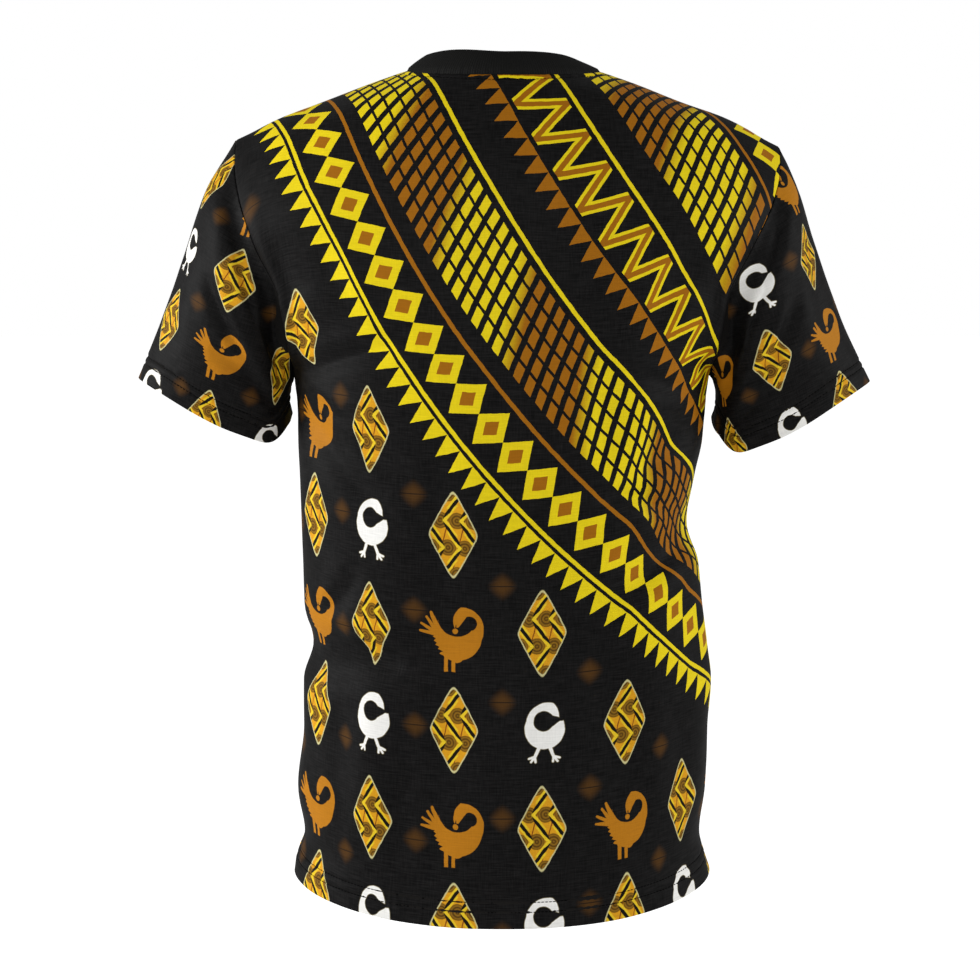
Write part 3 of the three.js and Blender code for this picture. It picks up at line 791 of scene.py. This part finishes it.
def add(kind, *inputs, out=0, **settings):
    """Adds a node, sets it up, links or fills its inputs, and returns one of its outputs."""
    kind, _, operation = kind.partition(".")
    made = tree.nodes.new("ShaderNode" + kind)
    if operation:
        made.operation = operation
    for setting, value in settings.items():
        setattr(made, setting, value)
    by_name = inputs and isinstance(inputs[0], dict)
    for place, value in inputs[0].items() if by_name else enumerate(inputs):
        if isinstance(value, bpy.types.NodeSocket):
            tree.links.new(value, made.inputs[place])
        else:
            made.inputs[place].default_value = light(value) if isinstance(value, str) else value
    return made.outputs[out] if made.outputs else None


def new_material(name):
    material = bpy.data.materials.new(name)
    material.use_nodes = True
    material.node_tree.nodes.clear()
    return material, material.node_tree


print("#808080 is", round(light("#808080")[0], 3), "of white light")

# %% [markdown]
# ## The printed jersey
# The cloth is cotton jersey, printed all over and then sewn. The print has a black ground with thin
# paler slubs. On it stands a lattice of small figures: diamonds filled with a zigzag and ringed
# discs, and a bird that looks back over its shoulder, a traditional West African sign called sankofa,
# once in ochre and once in white. Each figure could be a picture, but a drawn one stays sharp at any
# size. First the cloth is divided into cells, and each point learns its place in its own cell. Noise
# shifts the places by a little, as wet ink creeps along the yarns, so no edge is ruled quite straight.

# %% The cell of the lattice that a point falls in
PITCH, FIRST = (75.0, 83.5, 1.0), (-41.0, 2.0, 0.0)
HALF = (0.5, 0.5, 0.5)
jersey, tree = new_material("Printed cotton jersey")
pattern = add("UVMap", uv_map="Print")
wobble = add("TexNoise", {"Vector": pattern, "Scale": 0.16, "Detail": 2.0}, out=1)
wobble = add("VectorMath.SUBTRACT", wobble, HALF)
wobble = add("VectorMath.MULTIPLY", wobble, (1.1, 1.1, 0))
place = add("VectorMath.ADD", pattern, wobble)
counted = add("VectorMath.SUBTRACT", place, FIRST)
counted = add("VectorMath.DIVIDE", counted, PITCH)
cell = add("VectorMath.ADD", counted, HALF)
cell = add("VectorMath.FLOOR", cell)
local = add("VectorMath.SUBTRACT", counted, cell)
local = add("VectorMath.MULTIPLY", local, PITCH)
both = add("VectorMath.DOT_PRODUCT", cell, (1, 1, 0), out=1)
odd_cell = add("Math.FLOORED_MODULO", both, 2.0)
column = add("VectorMath.DOT_PRODUCT", cell, (1, 0, 0), out=1)
odd_column = add("Math.FLOORED_MODULO", column, 2.0)
print("a figure every", PITCH[0], "mm across and", PITCH[1], "mm up")

# %% [markdown]
# ## Shapes as distances
# Every shape of the print is a distance: how far a point of the cloth is outside the shape's edge.
# The least of several distances is the shapes' union, the greatest is what they share, and one turned
# inside out cuts a hole. So a bird is made of a few discs and tapering strokes, as one would cut it
# for a printing block. A mask then turns a distance into ink with a slightly soft edge.

# %% Strokes, discs, holes and inks
def strokes(point, table, nearest=None):
    """The distance to tapering strokes, each: start x, y, end x, y, radius at start and at end."""
    for x0, y0, x1, y1, r0, r1 in table:
        way, size = (x1 - x0, y1 - y0, 0), (x1 - x0) ** 2 + (y1 - y0) ** 2
        off = add("VectorMath.SUBTRACT", point, (x0, y0, 0))
        dot = add("VectorMath.DOT_PRODUCT", off, way, out=1)
        share = add("Math.DIVIDE", dot, size, use_clamp=True)
        foot = add("VectorMath.SCALE", {0: way, 3: share})
        gap = add("VectorMath.DISTANCE", off, foot, out=1)
        gap = add("Math.SUBTRACT", gap, add("Math.MULTIPLY_ADD", share, r1 - r0, r0))
        nearest = gap if nearest is None else add("Math.MINIMUM", nearest, gap)
    return nearest


def disc(point, x, y, radius):
    return add("Math.SUBTRACT", add("VectorMath.DISTANCE", point, (x, y, 0), out=1), radius)


def cut(shape, hole):
    return add("Math.MAXIMUM", shape, add("Math.MULTIPLY", hole, -1.0))


def filled(distance, soft=0.5, grow=0.0):
    """1 inside a shape that is grown by so many mm and 0 outside, over a soft edge."""
    return add("Math.MULTIPLY_ADD", distance, -1 / soft, 0.5 + grow / soft, use_clamp=True)


def inks(ground, *coats):
    """Inks laid over one another, each a mask and a colour."""
    for mask, colour in coats:
        ground = add("Mix", {0: mask, 6: ground, 7: colour}, out=2, data_type="RGBA")
    return ground


print("five ways to draw: strokes, disc, cut, filled and inks")

# %% [markdown]
# ### The ochre bird
# It stands on two short legs. A full round breast is hollowed by the curve of its back, the neck
# comes up on the right and bends over, and the beak reaches down to an egg. Behind it are slim tail
# feathers, and barbs run down its rump.

# %% The ochre bird
at_bird = add("VectorMath.SUBTRACT", local, (-1.5, -5.5, 0))
px = add("SeparateXYZ", at_bird)
py = px.node.outputs[1]
barbs = add("Math.PINGPONG", py, 1.8)
rump = add("Math.MULTIPLY_ADD", px, -1 / 3.0, -2.2, use_clamp=True)
barbs = add("Math.MULTIPLY", barbs, rump)
breast = strokes(at_bird, [(-9.5, -14.3, 2.5, -15.0, 3.0, 6.5)], disc(at_bird, 3.2, 1.5, 20.9))
breast = add("Math.MULTIPLY_ADD", barbs, 1.15, breast)
bowl = disc(at_bird, 3.0, 17.2, 16.2)
under_beak = add("Math.MAXIMUM", bowl, add("Math.SUBTRACT", py, 8.9))
head = add("Math.MAXIMUM", disc(at_bird, 7.8, 8.5, 17.8), disc(at_bird, 15.0, 14.0, 15.1))
head = cut(head, under_beak)
hole = strokes(at_bird, [(13.9, 12.6, 4.6, 8.0, 6.2, 0.9), (2.1, 8.0, 2.1, 11.0, 0.7, 0.3)])
hole = add("Math.MINIMUM", hole, cut(bowl, head))
whole = cut(add("Math.SMOOTH_MIN", breast, head, 6.0), hole)
whole = add("Math.MINIMUM", whole, disc(at_bird, 1.6, 5.7, 2.4))
ochre_bird = strokes(at_bird, [
    (-13.2, 7.6, -18.9, 20.8, 2.6, 1.2), (-15, 5.5, -22.6, 16.9, 1.8, 1.1),
    (-16, 4.6, -27.2, 11.2, 1.9, 1.0), (-15, 2.8, -28.2, 4.8, 2.1, 1.0),
    (-6.6, -15, -6.6, -31, 1.7, 1.7), (-0.3, -15, -0.3, -31, 1.5, 1.5),
], whole)
ochre_bird = add("Math.MAXIMUM", ochre_bird, add("Math.SUBTRACT", -29.6, py))
print(len(tree.nodes), "nodes so far")

# %% [markdown]
# ### The white bird
# The same bird drawn rounder, like a letter C on two legs: an egg shape with a round hole, and a slot
# between the beak, which points down, and the tail, which points up. Its left and right legs are
# mirror images, so one is drawn at the distance from the middle.

# %% The white bird
at_white = add("VectorMath.SUBTRACT", local, (0.5, 1.0, 0))
wx = add("SeparateXYZ", at_white)
wy = wx.node.outputs[1]
mirrored = add("CombineXYZ", add("Math.ABSOLUTE", wx), wy)
upper = add("Math.MAXIMUM", disc(at_white, 2.5, 4.5, 17.9), disc(at_white, -2.5, 10.5, 14.9))
tail_gap = add("Math.MAXIMUM", add("Math.SUBTRACT", 12.0, wx), add("Math.SUBTRACT", 6.3, wy))
lower = cut(disc(at_white, 0.3, 0, 17.0), tail_gap)
hole = strokes(at_white, [(1.5, 6.2, 13.5, 7.9, 7.6, 1.3)], disc(at_white, -0.6, 6.6, 8.8))
egg = cut(add("Math.MINIMUM", upper, lower), hole)
white_bird = strokes(mirrored, [
    (4.3, -15.0, 8.0, -23.7, 1.5, 1.3), (8.0, -23.7, 13.0, -24.9, 1.3, 0.9),
    (8.0, -23.7, 11.3, -27.8, 1.2, 0.9), (8.0, -23.7, 7.4, -27.8, 1.2, 0.9),
], egg)
print(len(tree.nodes), "nodes so far")

# %% [markdown]
# ### The diamond
# A tall diamond with rounded corners and a cream outline. Inside, thick black strokes make a zigzag
# that repeats across, with bright yellow beside it, ringed brown discs in its bends, and thin
# red-brown lines between.

# %% The diamond
ZIG_HIGH, ZIG_WIDE = 23.2, 7.2  # the zigzag's repeat up the cloth, and half of the one across it
at_diamond = add("VectorMath.SUBTRACT", local, (-1.4, -1.0, 0))
squared = add("VectorMath.MULTIPLY", at_diamond, at_diamond)
squared = add("VectorMath.ADD", squared, (7.8, 7.8, 0))
sx = add("SeparateXYZ", squared)
diamond = add("Math.MULTIPLY_ADD", add("Math.POWER", sx, 0.5), 0.884, -19.72)
diamond = add("Math.MULTIPLY_ADD", add("Math.POWER", sx.node.outputs[1], 0.5), 0.468, diamond)
lx = add("SeparateXYZ", at_diamond)
ly = lx.node.outputs[1]
swing = add("Math.PINGPONG", add("Math.ADD", ly, ZIG_HIGH / 2 - 0.6), ZIG_HIGH)
swing = add("Math.MULTIPLY_ADD", swing, 2 / ZIG_HIGH, -1.0)  # how far the zigzag swings out, -1 to 1
from_line = add("Math.ADD", add("Math.MULTIPLY_ADD", swing, 8.6, 0.75), lx)
from_line = add("Math.WRAP", from_line, ZIG_WIDE, -ZIG_WIDE)
line_gap = add("Math.ABSOLUTE", from_line)
thick = add("MapRange", add("Math.ABSOLUTE", swing), 0.45, 0.9, 1.85, 0.25)
black_line = filled(add("Math.SUBTRACT", line_gap, thick))
inner_side = add("Math.SUBTRACT", -0.4, add("Math.MULTIPLY", from_line, swing))
bright = add("Math.MULTIPLY", filled(line_gap, 1.0, grow=4.0), filled(inner_side))
disc_gaps = []
for shift in ((3.4, 12.2, 0), (-4.4, -11.0, 0)):
    to_disc = add("VectorMath.SUBTRACT", at_diamond, shift)
    to_disc = add("VectorMath.WRAP", to_disc, (ZIG_WIDE, ZIG_HIGH, 1), (-ZIG_WIDE, -ZIG_HIGH, -1))
    disc_gaps.append(add("VectorMath.LENGTH", to_disc, out=1))
disc_gap = add("Math.MINIMUM", *disc_gaps)
rings = add("Math.COSINE", add("Math.MULTIPLY", disc_gap, 2.3))
rings = add("Math.MULTIPLY_ADD", rings, 0.5, 0.5, use_clamp=True)
thin = add("Math.WRAP", add("Math.MULTIPLY_ADD", ly, -0.25, lx), ZIG_WIDE, -ZIG_WIDE)
thin = add("Math.SUBTRACT", ZIG_WIDE, add("Math.ABSOLUTE", thin))
inside = inks(
    "#D99B1E", (filled(thin, grow=0.45), "#7A3410"),
    (filled(disc_gap, 1.0, grow=6.9), inks("#563A0F", (rings, "#8E671B"))),
    (bright, "#E8C52A"), (black_line, "#14120C"),
)
diamond_colour = inks("#CDC58E", (filled(diamond, grow=-0.95), inside))
print(len(tree.nodes), "nodes so far")

# %% [markdown]
# ### Faint discs
# Between the figures are dim brown discs with a dark line through them, as if seen through the ink.
# They follow a lattice of their own, whose rows are 99 mm apart and step down by 76 mm a column.
# A power of 1.4 for the distance makes them a little like diamonds.

# %% The faint discs
DISC_ROW, DISC_STEP, SQUASH = 99.0, 76.0, 1.4
hx = add("SeparateXYZ", pattern)
steps_over = add("Math.MULTIPLY", add("Math.ADD", hx, DISC_STEP), 1 / PITCH[0])
steps_over = add("Math.ROUND", steps_over)
halo_x = add("Math.ADD", add("Math.MULTIPLY_ADD", steps_over, -PITCH[0], DISC_STEP), hx)
halo_y = add("Math.MULTIPLY_ADD", steps_over, DISC_STEP, -368.0)
halo_y = add("Math.WRAP", add("Math.ADD", halo_y, hx.node.outputs[1]), DISC_ROW / 2, -DISC_ROW / 2)
slit = add("Math.ABSOLUTE", halo_y)
halo = add("Math.POWER", add("Math.ABSOLUTE", halo_x), SQUASH)
halo = add("Math.ADD", halo, add("Math.POWER", slit, SQUASH))
halo = add("Math.POWER", halo, 1 / SQUASH)
halo = add("MapRange", halo, 2.5, 14.0, 1.0, 0.0, interpolation_type="SMOOTHSTEP")
halo_colour = inks("#573915", (filled(slit, 0.7, grow=0.35), "#120E0A"))
print("a faint disc every", DISC_ROW, "mm up the cloth")

# %% [markdown]
# ### The ground
# Cotton yarn is thicker in some places than in others, and takes the black a little paler there. The
# slubs run with the rows of stitches, sideways, and fainter ones run up the cloth.

# %% The ground
stretched = add("VectorMath.MULTIPLY", pattern, (0.055, 0.95, 1))
slub = add("TexNoise", {"Vector": stretched, "Scale": 1.0, "Detail": 3.0, "Roughness": 0.6})
upright = add("VectorMath.MULTIPLY", pattern, (0.9, 0.07, 1))
warp = add("TexNoise", {"Vector": upright, "Scale": 1.0, "Detail": 2.0, "Roughness": 0.6})
yarn = add("Math.MULTIPLY_ADD", warp, 0.35, add("Math.MULTIPLY", slub, 0.65))
ground = inks("#050505", (add("MapRange", yarn, 0.38, 0.63, 0.0, 1.0), "#1B1A1A"))
print("slubs are some", round(1 / 0.055), "mm long")

# %% [markdown]
# ### The great arcs
# The upper part of the cloth carries bands of border ornament, struck as arcs round a point beyond
# the right shoulder: rows of teeth, lozenges, zigzags and leaning blocks, such as are woven and
# printed all over West Africa. A band needs only two numbers: how far a point lies across the band,
# and how far it lies from the nearest repeat along it.

# %% The bands
CENTRE, REACH = (800.0, 1090.0, 0.0), 1100.0
TIER = 14  # a row of blocks is this wide
LEAN, CHANGE_LEAN, CHANGE = 0.55, 60.0, 95.0  # how blocks lean, and how their colours change along it
YELLOW, BROWN = "#E9D117", "#A0640F"
spoke = add("VectorMath.SUBTRACT", place, CENTRE)
radius = add("VectorMath.LENGTH", spoke, out=1)
qx = add("SeparateXYZ", spoke)
angle_at = add("Math.ARCTAN2", qx.node.outputs[1], qx)
# outer radius, width, kind, length of a repeat, colour, second colour
BANDS = [
    (1100, 20, "teeth", 17, YELLOW, None), (1077, 3.5, "line", 0, YELLOW, None),
    (1068, 40, "lozenge", 31, YELLOW, BROWN), (1024, 3.5, "line", 0, BROWN, None),
    (1008, 68, "blocks", 14, YELLOW, BROWN), (936, 3.5, "line", 0, YELLOW, None),
    (906, 18, "teeth", 17, BROWN, None), (884, 42, "zigzag", 34, YELLOW, BROWN),
    (838, 3.5, "line", 0, YELLOW, None), (810, 82, "blocks", 14, YELLOW, BROWN),
    (722, 3.5, "line", 0, BROWN, None), (712, 40, "lozenge", 31, YELLOW, BROWN),
    (664, 30, "blocks", 14, YELLOW, BROWN),
]


def saw(run, repeat):
    """From 0 on each repeat's middle to 1 between two of them."""
    return add("Math.MULTIPLY", add("Math.PINGPONG", run, repeat / 2), 2 / repeat)


def band_shapes(kind, across, run, width, repeat, colour, second):
    """The masks and inks of one band."""
    if kind == "line":
        return [(1.0, colour)]
    if kind == "teeth":
        tooth = add("Math.SUBTRACT", saw(run, repeat), across)
        return [(add("Math.LESS_THAN", tooth, 0.0), colour)]
    if kind == "blocks":
        tiers = round(width / TIER)
        leaning = add("Math.MULTIPLY_ADD", across, tiers * repeat * LEAN, run)
        block = add("Math.LESS_THAN", saw(leaning, repeat), 0.6)
        tier = add("Math.PINGPONG", add("Math.MULTIPLY", across, tiers), 0.5)
        block = add("Math.MULTIPLY", block, add("Math.GREATER_THAN", tier, 0.09))
        change = add("Math.PINGPONG", add("Math.MULTIPLY_ADD", across, CHANGE_LEAN, run), CHANGE)
        change = add("MapRange", change, 36.0, 60.0, 0.0, 1.0)
        return [(block, inks(colour, (change, second)))]
    if kind == "lozenge":
        middle = add("Math.ABSOLUTE", add("Math.MULTIPLY_ADD", across, 2.0, -1.0))
        shape = add("Math.ADD", middle, saw(run, repeat))
    else:
        shape = add("Math.ABSOLUTE", add("Math.SUBTRACT", across, saw(run, repeat)))
        shape = add("Math.MULTIPLY", shape, 3.2)
    return [(add("Math.LESS_THAN", shape, most), ink) for most, ink in ((1.0, colour), (0.45, second))]


print(len(BANDS), "bands, the outermost", REACH, "mm from their middle")

# %% [markdown]
# ### Striking the arcs
# Each band is laid over the ground and over the bands before it, wherever a point is within its width.

# %% All the bands on the ground
arcs = ground
for outer, width, kind, repeat, colour, second in BANDS:
    across = add("Math.MULTIPLY_ADD", radius, -1 / width, outer / width)
    within = add("Math.COMPARE", across, 0.5, 0.5)
    run = add("Math.MULTIPLY", angle_at, outer - width / 2)
    for shape, ink in band_shapes(kind, across, run, width, repeat, colour, second):
        arcs = inks(arcs, (add("Math.MULTIPLY", shape, within), ink))
print(len(tree.nodes), "nodes so far")

# %% [markdown]
# ### Putting the print together
# Figures are left out where the arcs would cut them, so each cell asks how far its own middle lies
# from the arcs. The ground goes down first, then the faint discs, the figures and the arcs.

# %% The whole print
middles = add("VectorMath.MULTIPLY", cell, PITCH)
middles = add("VectorMath.ADD", middles, FIRST)
clear = add("VectorMath.DISTANCE", middles, CENTRE, out=1)  # of each cell's middle from the arcs'
clear = add("Math.GREATER_THAN", clear, REACH + 20)
beyond = add("Math.GREATER_THAN", radius, REACH + 10)
halo = add("Math.MULTIPLY", add("Math.MULTIPLY", halo, beyond), 0.75)
even_cell = add("Math.SUBTRACT", 1.0, odd_cell)
even_column = add("Math.SUBTRACT", 1.0, odd_column)
in_even, in_odd = add("Math.MULTIPLY", clear, even_cell), add("Math.MULTIPLY", clear, odd_cell)
for_ochre, for_white = (add("Math.MULTIPLY", in_odd, c) for c in (even_column, odd_column))
coats = [(halo, halo_colour)]
for shape, soft, grow, here, ink in (
    (diamond, 0.5, 0.0, in_even, diamond_colour), (ochre_bird, 0.5, 0.0, for_ochre, "#B67618"),
    (white_bird, 0.8, 0.35, for_white, "#7E6F3C"), (white_bird, 0.5, 0.0, for_white, "#F3F2EE"),
):
    coats.append((add("Math.MULTIPLY", filled(shape, soft, grow), here), ink))
printed = inks(ground, *coats, (add("Math.LESS_THAN", radius, REACH), arcs))
printed = add("VectorMath.SCALE", {0: printed, 3: add("MapRange", yarn, 0.3, 0.7, 0.86, 1.08)})
print(len(tree.nodes), "nodes draw the print")

# %% [markdown]
# ### How jersey meets the light
# Jersey is matt: its loops and short fibres scatter light every way, so it has only a trace of a
# highlight, wide and dull. Light that grazes it is what turns black cloth grey towards its outline.
# The yarn's unevenness is also a small relief, which breaks up that grey.

# %% The jersey's surface
def surface(colour, roughness, specular, height=None, strength=0.3):
    """Closes the network in hand with a matt surface and its relief."""
    named = {"Base Color": colour, "Roughness": roughness, "Specular IOR Level": specular}
    if height is not None:
        named["Normal"] = add("Bump", {"Strength": strength, "Distance": 0.0003, "Height": height})
    add("OutputMaterial", add("BsdfPrincipled", named))


surface(printed, 0.58, 0.07, yarn, strength=0.35)
print(jersey.name, "has", len(tree.nodes), "nodes")

# %% [markdown]
# ## The reverse, the rib and the thread
# Ink doesn't go through, so the inside is the black yarn, rougher than the face, and looks dusty from
# its loops. The rib is dyed black right through, which makes it an even, deep black beside the print.
# The thread is spun polyester. Its colour is set almost pure black, blacker than black yarn is, so it
# carries the thread's own black and also painted shade for the valley the stitches pull in, and shows as
# dark dashes.

# %% Three more finishes
KNITS = {  # how the loops are stretched, their scale, two tones, roughness
    "Jersey reverse, black": ((0.6, 1.1, 1), 1.0, "#111110", "#211F1E", 0.8),
    "Rib knit, black cotton": ((1.4, 2.2, 1), 0.7, "#0C0C0B", "#191918", 0.6),
}
made = []
for name, (stretch, scale, dark, pale, roughness) in KNITS.items():
    knit, tree = new_material(name)
    loops = add("VectorMath.MULTIPLY", add("UVMap", uv_map="Print"), stretch)
    loops = add("TexNoise", {"Vector": loops, "Scale": scale, "Detail": 3.0})
    surface(inks(dark, (loops, pale)), roughness, 0.07, loops)
    made.append(knit)
reverse, rib_knit = made
thread, tree = new_material("Spun polyester thread, black, with painted groove shade")
twist = add("TexNoise", {"Vector": add("TexCoord", out=3), "Scale": 900.0, "Detail": 1.0})
# painted shade: the near-black thread colour also stands in for the shade in the stitch groove
surface(inks("#010101", (twist, "#040404")), 0.8, 0.03)
print(len(bpy.data.materials), "finishes")

# %% [markdown]
# ## Thickness
# With its finishes in place, each sheet becomes as thick as its cloth: jersey 0.75 mm, rib a little
# more. The thickness goes inwards, so the printed face stays where it was laid.

# %% Thickness and finishes on the cloth
RIB_CLOTH = 0.9
for name, piece in panels.items():
    for finish in (rib_knit, rib_knit) if name == "band" else (jersey, reverse):
        piece.data.materials.append(finish)
    thicken(piece, RIB_CLOTH if name == "band" else CLOTH)

# %% [markdown]
# ## Stitches
# The hem and the cuffs are held by two rows of stitches and the neck seam by one. A stitch is a short
# thread that comes up, lies on the cloth and goes down again. One is modelled, from a small sphere
# drawn out along its length. An array repeats it along a straight line, and the line is then laid on
# the seam: the way along it becomes distance on the cloth.

# %% Laying a row of stitches on a seam
STITCH, STEP, STITCH_UP = (2.8, 1.1, 0.6), 3.3, 0.06


def stitch_rows(name, lines):
    """Stitches on lines of the cloth, each a list of points and the normals there."""
    made = []
    for points, facing in lines:
        run = length_along(points)
        bpy.ops.mesh.primitive_uv_sphere_add(segments=6, ring_count=4, radius=0.5)
        stitches = bpy.context.object
        stitches.rotation_euler = (0, np.pi / 2, 0)
        stitches.scale = STITCH[::-1]
        bpy.ops.object.transform_apply(rotation=True, scale=True)
        array = stitches.modifiers.new("row", "ARRAY")
        array.count = int(run[-1] // STEP)
        array.use_relative_offset, array.use_constant_offset = False, True
        array.constant_offset_displace = (run[-1] / array.count, 0, 0)
        bpy.ops.object.modifier_apply(modifier=array.name)
        co = np.empty(len(stitches.data.vertices) * 3)
        stitches.data.vertices.foreach_get("co", co)
        co = co.reshape(-1, 3)
        here = np.clip(co[:, 0] + STEP / 2, 0, run[-1])
        on, ahead, up = (
            at_lengths(here, run, values) for values in (points, np.gradient(points, axis=0), facing)
        )
        co = on + unit(np.cross(up, ahead)) * co[:, 1:2] + up * (co[:, 2:3] + STITCH_UP)
        stitches.data.vertices.foreach_set("co", (co / 1000).ravel())
        made.append(stitches)
    bpy.ops.object.select_all(action="DESELECT")
    for stitches in made:
        stitches.select_set(True)
    bpy.context.view_layer.objects.active = made[0]
    bpy.ops.object.join()
    piece = bpy.context.object
    piece.name = piece.data.name = name
    bpy.ops.object.shade_smooth()
    piece.data.materials.append(thread)
    print(name, len(piece.data.polygons), "faces")
    return piece


print("a stitch is", STITCH[0], "mm long, and one starts every", STEP, "mm")

# %% [markdown]
# ## Where the stitches run
# The rows of the grids that were set on the stitch lines are taken from the cloth as it now lies, with
# its folds. The neck's row stops at the shoulder seams on each panel.

# %% All the rows of stitches
threads = {}
for name, where in laid.items():
    points, facing, face = where["points"], where["facing"], where["face"]
    lines = [(points[r][face], facing[r][face]) for r in where["rows"]["hem"]]
    threads[name] = stitch_rows(f"{name}_hem_stitches", lines)
neck_lines = []
for side, cols in (("back", u[::-1]), ("front", u)):
    inside = (cols > NECK_U[0] - 0.001) & (cols < NECK_U[1] + 0.001)
    r = laid[side]["rows"]["neck"]
    neck_lines.append([laid[side][what][r][inside] for what in ("points", "facing")])
threads["band"] = stitch_rows("neck_stitches", neck_lines)

# %% [markdown]
# ## Putting the shirt on its frame
# Each piece stands for one solid of the frame and moves with its one body. The cut of each sheet is
# what went under the scissors, hems and seam allowances with it: a panel is 53 cm wide and 83 cm long,
# less the armholes and the neck, a sleeve opens out to 50 by 25 cm, less the corners of its head, and
# the neckband is a strip of 57 by 5.5 cm.

# %% Riding, replacing and the cut of the cloth
# the node each piece stands for, its flat size and the area left of it, in metres
CUTS = {
    "back": ("back_panel", (0.53, 0.83), 0.375), "front": ("front_panel", (0.53, 0.83), 0.365),
    "left": ("left_sleeve", (0.5, 0.25), 0.082), "right": ("right_sleeve", (0.5, 0.25), 0.082),
    "band": ("neck_rib", (0.57, 0.055), None),
}
for name, piece in panels.items():
    node, flat, area = CUTS[name]
    for part in (piece, threads[name]):
        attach(part, "root")
    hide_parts(node)
    print(piece.name, "stands for", node, "and is cut from", flat, "m")

# %% [markdown]
# ## Light and ground
# Black cloth is only seen by the light that grazes it, so the light is broad and comes from both
# sides: two large soft panels, the brighter one at the wearer's left, and a third behind us. The room
# is white to look at, but it lights the shirt only dimly, as a wide studio does, so that dark cloth
# keeps its depth. The floor is plain and pale, at the height of the wearer's feet.

# %% Lights, floor and room
AIM_LIGHTS, LAMP_SIZE = Vector((0, 0, -0.35)), 1.1
ROOM_SEEN, ROOM_LIGHT, FLOOR_SEEN = 1.0, 0.38, 0.75
for x, y, z, power in ((-2.3, 0.3, 0.1, 23), (2.3, 0.3, 0.1, 44), (0.2, 2.4, 0.3, 14)):
    spot = Vector((x, y, z))
    turn = (AIM_LIGHTS - spot).to_track_quat("-Z", "Y").to_euler()
    bpy.ops.object.light_add(type="AREA", location=spot, rotation=turn)
    bpy.context.object.data.size = LAMP_SIZE
    bpy.context.object.data.energy = power
bpy.ops.mesh.primitive_plane_add(size=60, location=(0, 0, -1.42))
floor = bpy.context.object
floor.name = "floor"
painted, tree = new_material("Painted floor, pale")
grain = add("TexNoise", {"Vector": add("TexCoord", out=3), "Scale": 3.0})
add("OutputMaterial", add("BsdfPrincipled", {
    "Base Color": inks("#F6F6F5", (grain, "#FAFAF9")), "Roughness": 0.8, "Emission Color": "#FFFFFF",
    "Emission Strength": add("Math.MULTIPLY", add("LightPath"), FLOOR_SEEN),
}))
floor.data.materials.append(painted)
world = bpy.data.worlds.new("room")
world.use_nodes = True
tree = world.node_tree
tree.nodes.clear()
strength = add("MapRange", add("LightPath"), 0.0, 1.0, ROOM_LIGHT, ROOM_SEEN)
add("OutputWorld", add("Background", {"Strength": strength, "Color": "#FFFFFF"}))
bpy.context.scene.world = world
bpy.context.scene.view_settings.view_transform = "Standard"
print(len(bpy.data.lights), "lamps")
